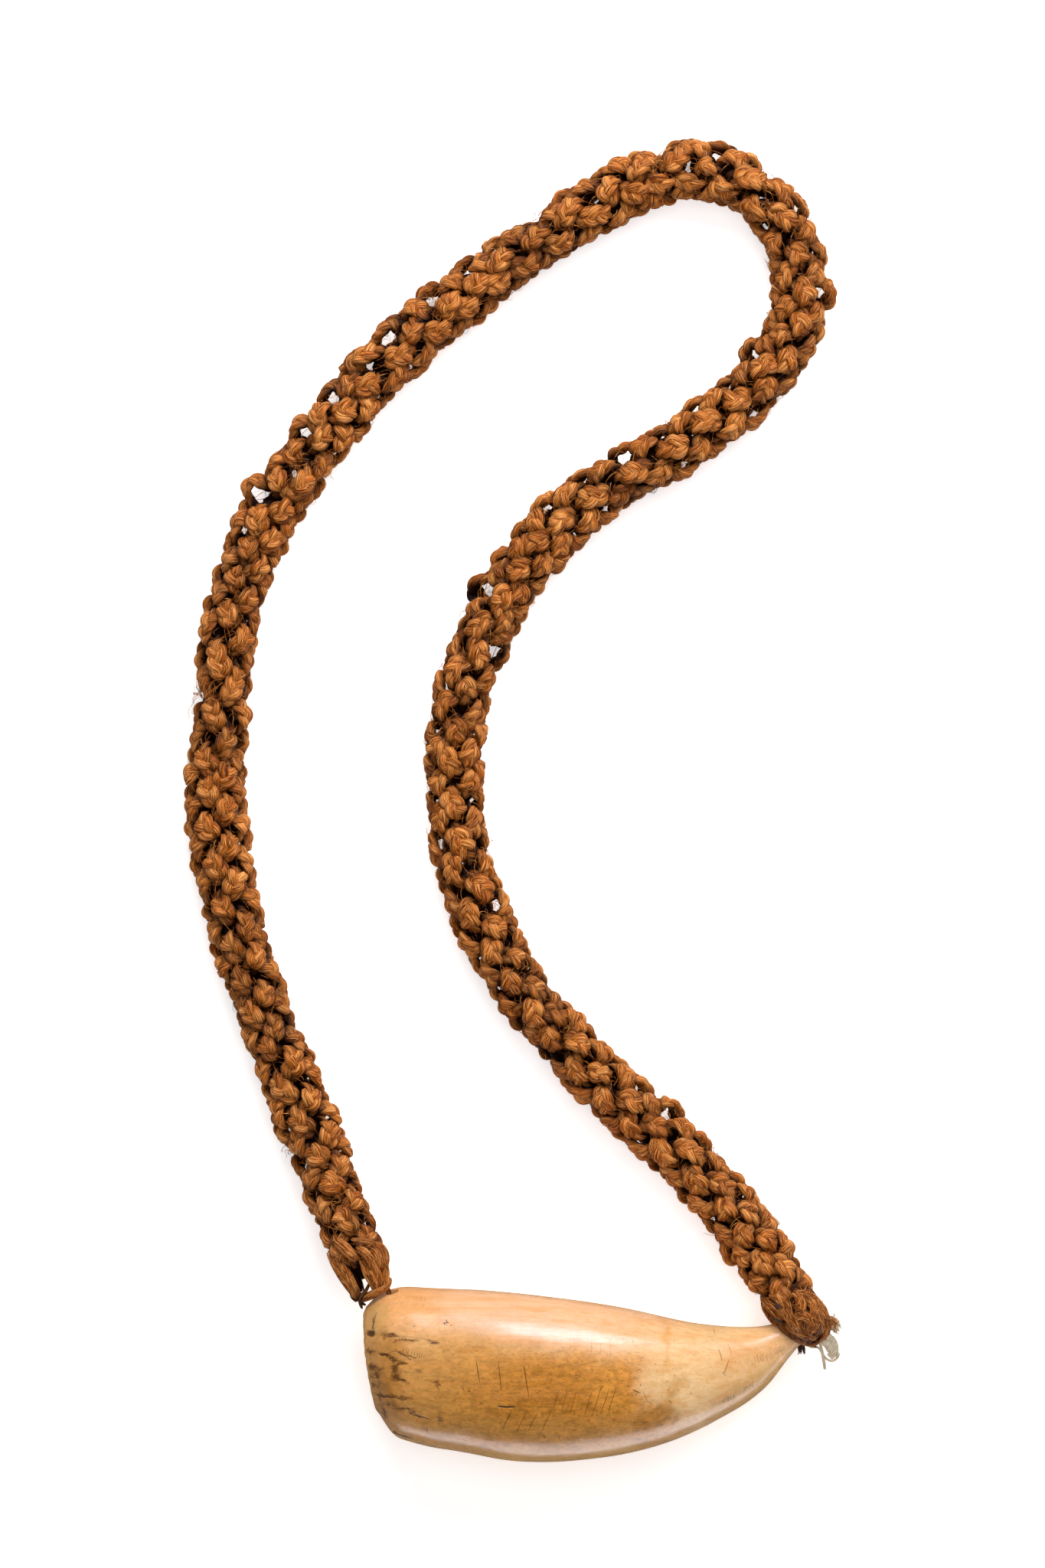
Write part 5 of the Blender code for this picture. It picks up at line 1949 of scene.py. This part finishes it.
    def build(self, coir: Material) -> list[Object]:
        """Make the knot in place of its plain solid.

        Args:
            coir: Its material.

        Returns:
            The pieces.
        """
        rng = np.random.default_rng(SEED + 41)
        core = TubeBatch(self.core_sides)
        self.core(core)
        body = add_piece("tip_knot_core", core.mesh("tip_knot_core"), coir, Slot.KNOT)
        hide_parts("tip_lashing")
        batch = TubeBatch(self.sides)
        start, end, _, _ = self.axis()
        for half_width, lift, fibres, shade, points in self.wraps:
            line = evenly(np.column_stack([np.array(points), np.zeros(len(points))]), 16)[:, :2]
            hank = Hank(self.over(line, lift), half_width, 0.75 * half_width, fibres, shade)
            hank.lay(rng, batch, (start + end) / 2)
        self.cross(rng, batch)
        for _ in range(self.tufts):
            root = rng.uniform(-1, 1, 3) * self.tuft_root_spread + self.tuft_root
            tip = rng.uniform(-1, 1, 3) * self.tuft_tip_spread + self.tuft_tip
            middle = (root + tip) / 2 + rng.uniform(-0.7, 0.7, 3)
            line = evenly(np.array((root, middle, tip)), 8)
            batch.hair(line, self.tuft_half_width, self.tuft_shade, rng.random())
        return [body, add_piece("tip_knot_fibres", batch.mesh("tip_knot_fibres"), coir, Slot.KNOT)]


@dataclass
class CottonString:
    """A cotton string and a folded tape that hang out of the knot at the tip, and some frayed scraps.

    A fray holds where its threads start and end, how far they spread, how many and how clean they are.
    """

    strands: tuple[Run, ...] = (
        Run(((85.6, 12.6, 11), (86, 11, 9.6), (86.7, 8.6, 7.4), (87.2, 6, 4.6), (87.5, 3.8, 2.4),
            (87.8, 1.6, 1)), 0.62, 0.5, 2, 0.9),
        Run(((86.2, 8.6, 7), (87.4, 6.4, 5.2), (88.8, 5, 4), (90.6, 4.5, 3.6), (92.2, 5.6, 4.6),
            (93, 7.4, 6)), 0.55, 0.45, 2, 0.9),
        Run(((81.6, 10.4, 12), (83, 9.8, 11.4), (84.4, 9.9, 10.4), (86.4, 8.4, 8)), 0.5, 0.45, 2, 0.9),
    )
    tapes: tuple[Run, ...] = (
        Run(((86.8, 13, 13), (88.6, 11.6, 11.2), (89.8, 9.4, 8.8), (90.4, 7.2, 6.6), (89.4, 6.2, 5.6)),
            1.35, 0.22, 1, 0.75),
        Run(((88, 14, 13), (90, 12.6, 11.4), (91.2, 10, 8.8), (91.6, 7.6, 6.6), (91, 6.6, 5.8)),
            1.15, 0.2, 1, 0.75),
        Run(((88.4, 14.6, 12.6), (89.6, 13.8, 11.8), (89.2, 12.6, 11.2)), 0.8, 0.3, 1, 0.7),
        Run(((65.8, 58.6, 12), (68.4, 56.8, 13.4), (70.6, 54.4, 12.4)), 0.9, 0.4, 1, 0.6, 0.9),
    )
    frays: tuple[tuple[Any, ...], ...] = (
        ((88.4, 19.8, 14), (92.6, 17.2, 12), (0.6, 2, 0.9), 46, 1),
        ((90.4, 20, 13), (91.4, 16.4, 12), (1.6, 0.7, 0.5), 16, 1),
        ((69, 26.2, 27.2), (71.6, 24.8, 27.2), (0.6, 0.8, 0.3), 9, 0.5),
        ((68.4, 20.8, 23.6), (71.4, 19.3, 24.6), (0.4, 0.5, 0.2), 8, 0.5),
    )
    thread_half_width: float = 0.11
    sides: int = 8
    ground: float = 0.15

    def build(self, cotton: Material) -> Object:
        """Make the string in place of its plain solid.

        Args:
            cotton: Its material.

        Returns:
            The piece.
        """
        rng = np.random.default_rng(SEED + 51)
        batch = TubeBatch(self.sides, self.ground)
        for run in (*self.strands, *self.tapes):
            run.lay(rng, batch)
        for root, tip, spread, count, shade in self.frays:
            for _ in range(count):
                offset = rng.uniform(-1, 1, 3) * spread
                start = np.array(root) + offset
                end = np.array(tip) + 1.3 * offset + rng.uniform(-0.6, 0.6, 3)
                middle = (start + end) / 2 + rng.uniform(-0.5, 0.5, 3)
                line = evenly(np.array((start, middle, end)), 7)
                batch.hair(line, self.thread_half_width, shade, rng.random())
        made = add_piece("cotton_tie", batch.mesh("cotton_tie"), cotton, Slot.STRING)
        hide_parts("cotton_string")
        return made


@dataclass
class Cord:
    """The cord: its route, its plait, and where its eyelets and tangles lie."""

    diameter: float = 22.0
    step: float = 0.5
    route: tuple[Point, ...] = (
        (-81.5, 40.5, 24.5), (-85.5, 51, 20.5), (-90, 62, 16), (-95.5, 76, 12.4), (-101.5, 92, 11),
        (-112.5, 119, 11), (-123, 148, 11), (-131, 178, 11), (-134.8, 208, 11), (-133.8, 239, 11),
        (-130.5, 270, 11), (-122.5, 299, 11), (-108, 326, 11), (-89, 351, 11), (-67.5, 374.5, 11),
        (-44, 394.5, 11), (-19.5, 412.5, 11), (6.5, 429, 11), (34.5, 440, 11), (61.5, 433.5, 11),
        (77, 409.5, 11), (74, 377.5, 11), (53, 353.5, 11), (27.5, 335.5, 11), (0.5, 319.5, 11),
        (-20.5, 298, 11), (-37, 271, 11), (-46.5, 242, 11), (-48, 211.5, 11), (-43, 181, 11),
        (-31, 152.5, 11), (-13, 127.5, 11), (8, 105, 11), (30.5, 84, 11.2), (51.5, 61.5, 12.6),
        (66, 41.5, 15.8), (74, 28.5, 18),
    )
    eyelets: tuple[Eyelet, ...] = tuple(Eyelet(*row) for row in (
        (219, -8.3, 1.4), (279, -5.8, 0.9), (292.5, -6.4, 3), (304.5, -0.5, 2.2), (320, -5.8, 0.8),
        (336, -4.8, 1), (353, -4.8, 1.9), (367.5, -5.8, 1), (385.5, -5.9, 1.9), (402.5, -5.3, 0.8),
        (432, -8.1, 0.6), (455.5, -1.3, 1.1), (481, -9, 0.9), (490.5, -3, 2.7), (500, -6.4, 1.6),
        (516, -8.5, 1.7), (559, -7, 1), (588.5, 6.7, 0.6), (653, 5.6, 1.4), (685.5, 5.6, 1.6),
        (721.5, 6.1, 1.9), (738.5, -4.7, 1.7), (839, -6.4, 0.6), (942, -8, 0.5),
    ))
    tangles: tuple[Tangle, ...] = (Tangle(312.0, 0.12, 60), Tangle(690.0, 0.35, 25))

    def build(self, coir: Material, knotted: Material, cotton: Material) -> None:
        """Args:
            coir: The material of the plait.
            knotted: The darker material of its knotted ends.
            cotton: The material of the string.
        """
        line = CordLine.through(self.route, self.step)
        pieces = Plait(line, self.eyelets, self.diameter).build(coir)
        pieces.append(LooseFibres(line, self.tangles).build(coir))
        pieces.append(RootLashing().build(knotted))
        pieces += TipKnot().build(knotted)
        pieces.append(CottonString().build(cotton))
        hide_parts("coir_cord")
        path = [tuple(point * MM) for point in line.places[::8]] + [tuple(line.places[-1] * MM)]
        tuple(Vector(self.route[0]) * MM)
        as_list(pieces[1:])
        log.info("cord: %.0f mm long", line.length)


# The studio


@dataclass(frozen=True)
class Softbox:
    """A large soft lamp that looks at a point, and may be left out of the gloss or light only the gloss."""

    name: str
    place: Point
    target: Point
    size: Place
    power: float
    colour: str = "FFFFFF"
    in_gloss: bool = True
    on_matt: bool = True

    def hang(self) -> None:
        """Add the lamp."""
        lamp = bpy.data.lights.new(self.name, "AREA")
        lamp.shape = "RECTANGLE"
        lamp.size, lamp.size_y = self.size[0] * MM, self.size[1] * MM
        lamp.energy = self.power
        lamp.color = linear(self.colour)[:3]
        made = place_object(self.name, lamp)
        made.location = Vector(self.place) * MM
        towards = (Vector(self.target) - Vector(self.place)).normalized()
        made.rotation_mode = "QUATERNION"
        made.rotation_quaternion = towards.to_track_quat("-Z", "Y")
        made.visible_camera = False
        made.visible_glossy = self.in_gloss
        made.visible_diffuse = self.on_matt


@dataclass(frozen=True)
class Studio:
    """The pale floor, the lamps and the camera, which looks straight down from far off."""

    middle: Place = (-22.96, 215.9)
    frame_height: float = 573.44
    scale_height: float = 15.0
    camera_height: float = 6000.0
    sensor: float = 24.0
    floor_size: float = 6000.0
    room_colour: str = "F6F8FC"
    room_light: float = 0.10
    softboxes: tuple[Softbox, ...] = (
        Softbox("key", (400, 1560, 1090), (0, 100, 0), (1000, 600), 27, "E2DEFF", True, False),
        Softbox("key_halo", (380, 1480, 1300), (0, 100, 0), (1500, 900), 4, "FFF0EE", True, False),
        Softbox("key_fill", (350, 1560, 1250), (0, 100, 0), (2200, 1100), 42, "FFF9F2", False),
        Softbox("overhead", (0, 100, 3500), (0, 100, 0), (3000, 3000), 60, "FAFAFC", False),
        Softbox("front_table", (200, -407, 50), (190, -357, 402), (560, 712), 5.6, "F0F0FF", True, False),
    )

    def add_camera(self) -> None:
        """Add the camera that looks straight down on the object."""
        lens = bpy.data.cameras.new("camera")
        lens.sensor_fit = "VERTICAL"
        lens.sensor_height = self.sensor
        lens.lens = self.sensor * (self.camera_height - self.scale_height) / self.frame_height
        lens.clip_end = 100.0
        camera = place_object("camera", lens)
        camera.location = Vector((*self.middle, self.camera_height)) * MM
        bpy.context.scene.camera = camera

    def add_floor(self) -> None:
        """Add the pale floor, which is left out of the gloss, as a dark room would be."""
        half = self.floor_size / 2 * MM
        mesh = bpy.data.meshes.new("floor")
        corners = [(-half, -half, 0.0), (half, -half, 0.0), (half, half, 0.0), (-half, half, 0.0)]
        mesh.from_pydata(corners, [], [(0, 1, 2, 3)])
        mesh.materials.append(PaperFinish("white_paper_sweep").make())
        floor = place_object("floor", mesh)
        floor.visible_glossy = False

    def add_light(self) -> None:
        """Add the lamps and the pale surroundings."""
        scene = bpy.context.scene
        scene.view_settings.view_transform = "Standard"
        scene.world = bpy.data.worlds.new("pale_room")
        scene.world.use_nodes = True
        background = scene.world.node_tree.nodes["Background"]
        set_inputs(background, {"Color": linear(self.room_colour), "Strength": self.room_light})
        for softbox in self.softboxes:
            softbox.hang()


def main() -> None:
    """Build every piece, in order."""
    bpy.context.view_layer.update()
    studio = Studio()
    studio.add_camera()
    coir = CoirFinish("plaited_coir").make()
    knotted = CoirFinish("knotted_coir", dark="4E2006", middle="B46016", light="F6B068").make()
    Cord().build(coir, knotted, CottonFinish("cotton_string").make())
    Tooth().build(IvoryFinish("polished_ivory").make())
    studio.add_floor()
    studio.add_light()


if __name__ == "__main__":
    main()
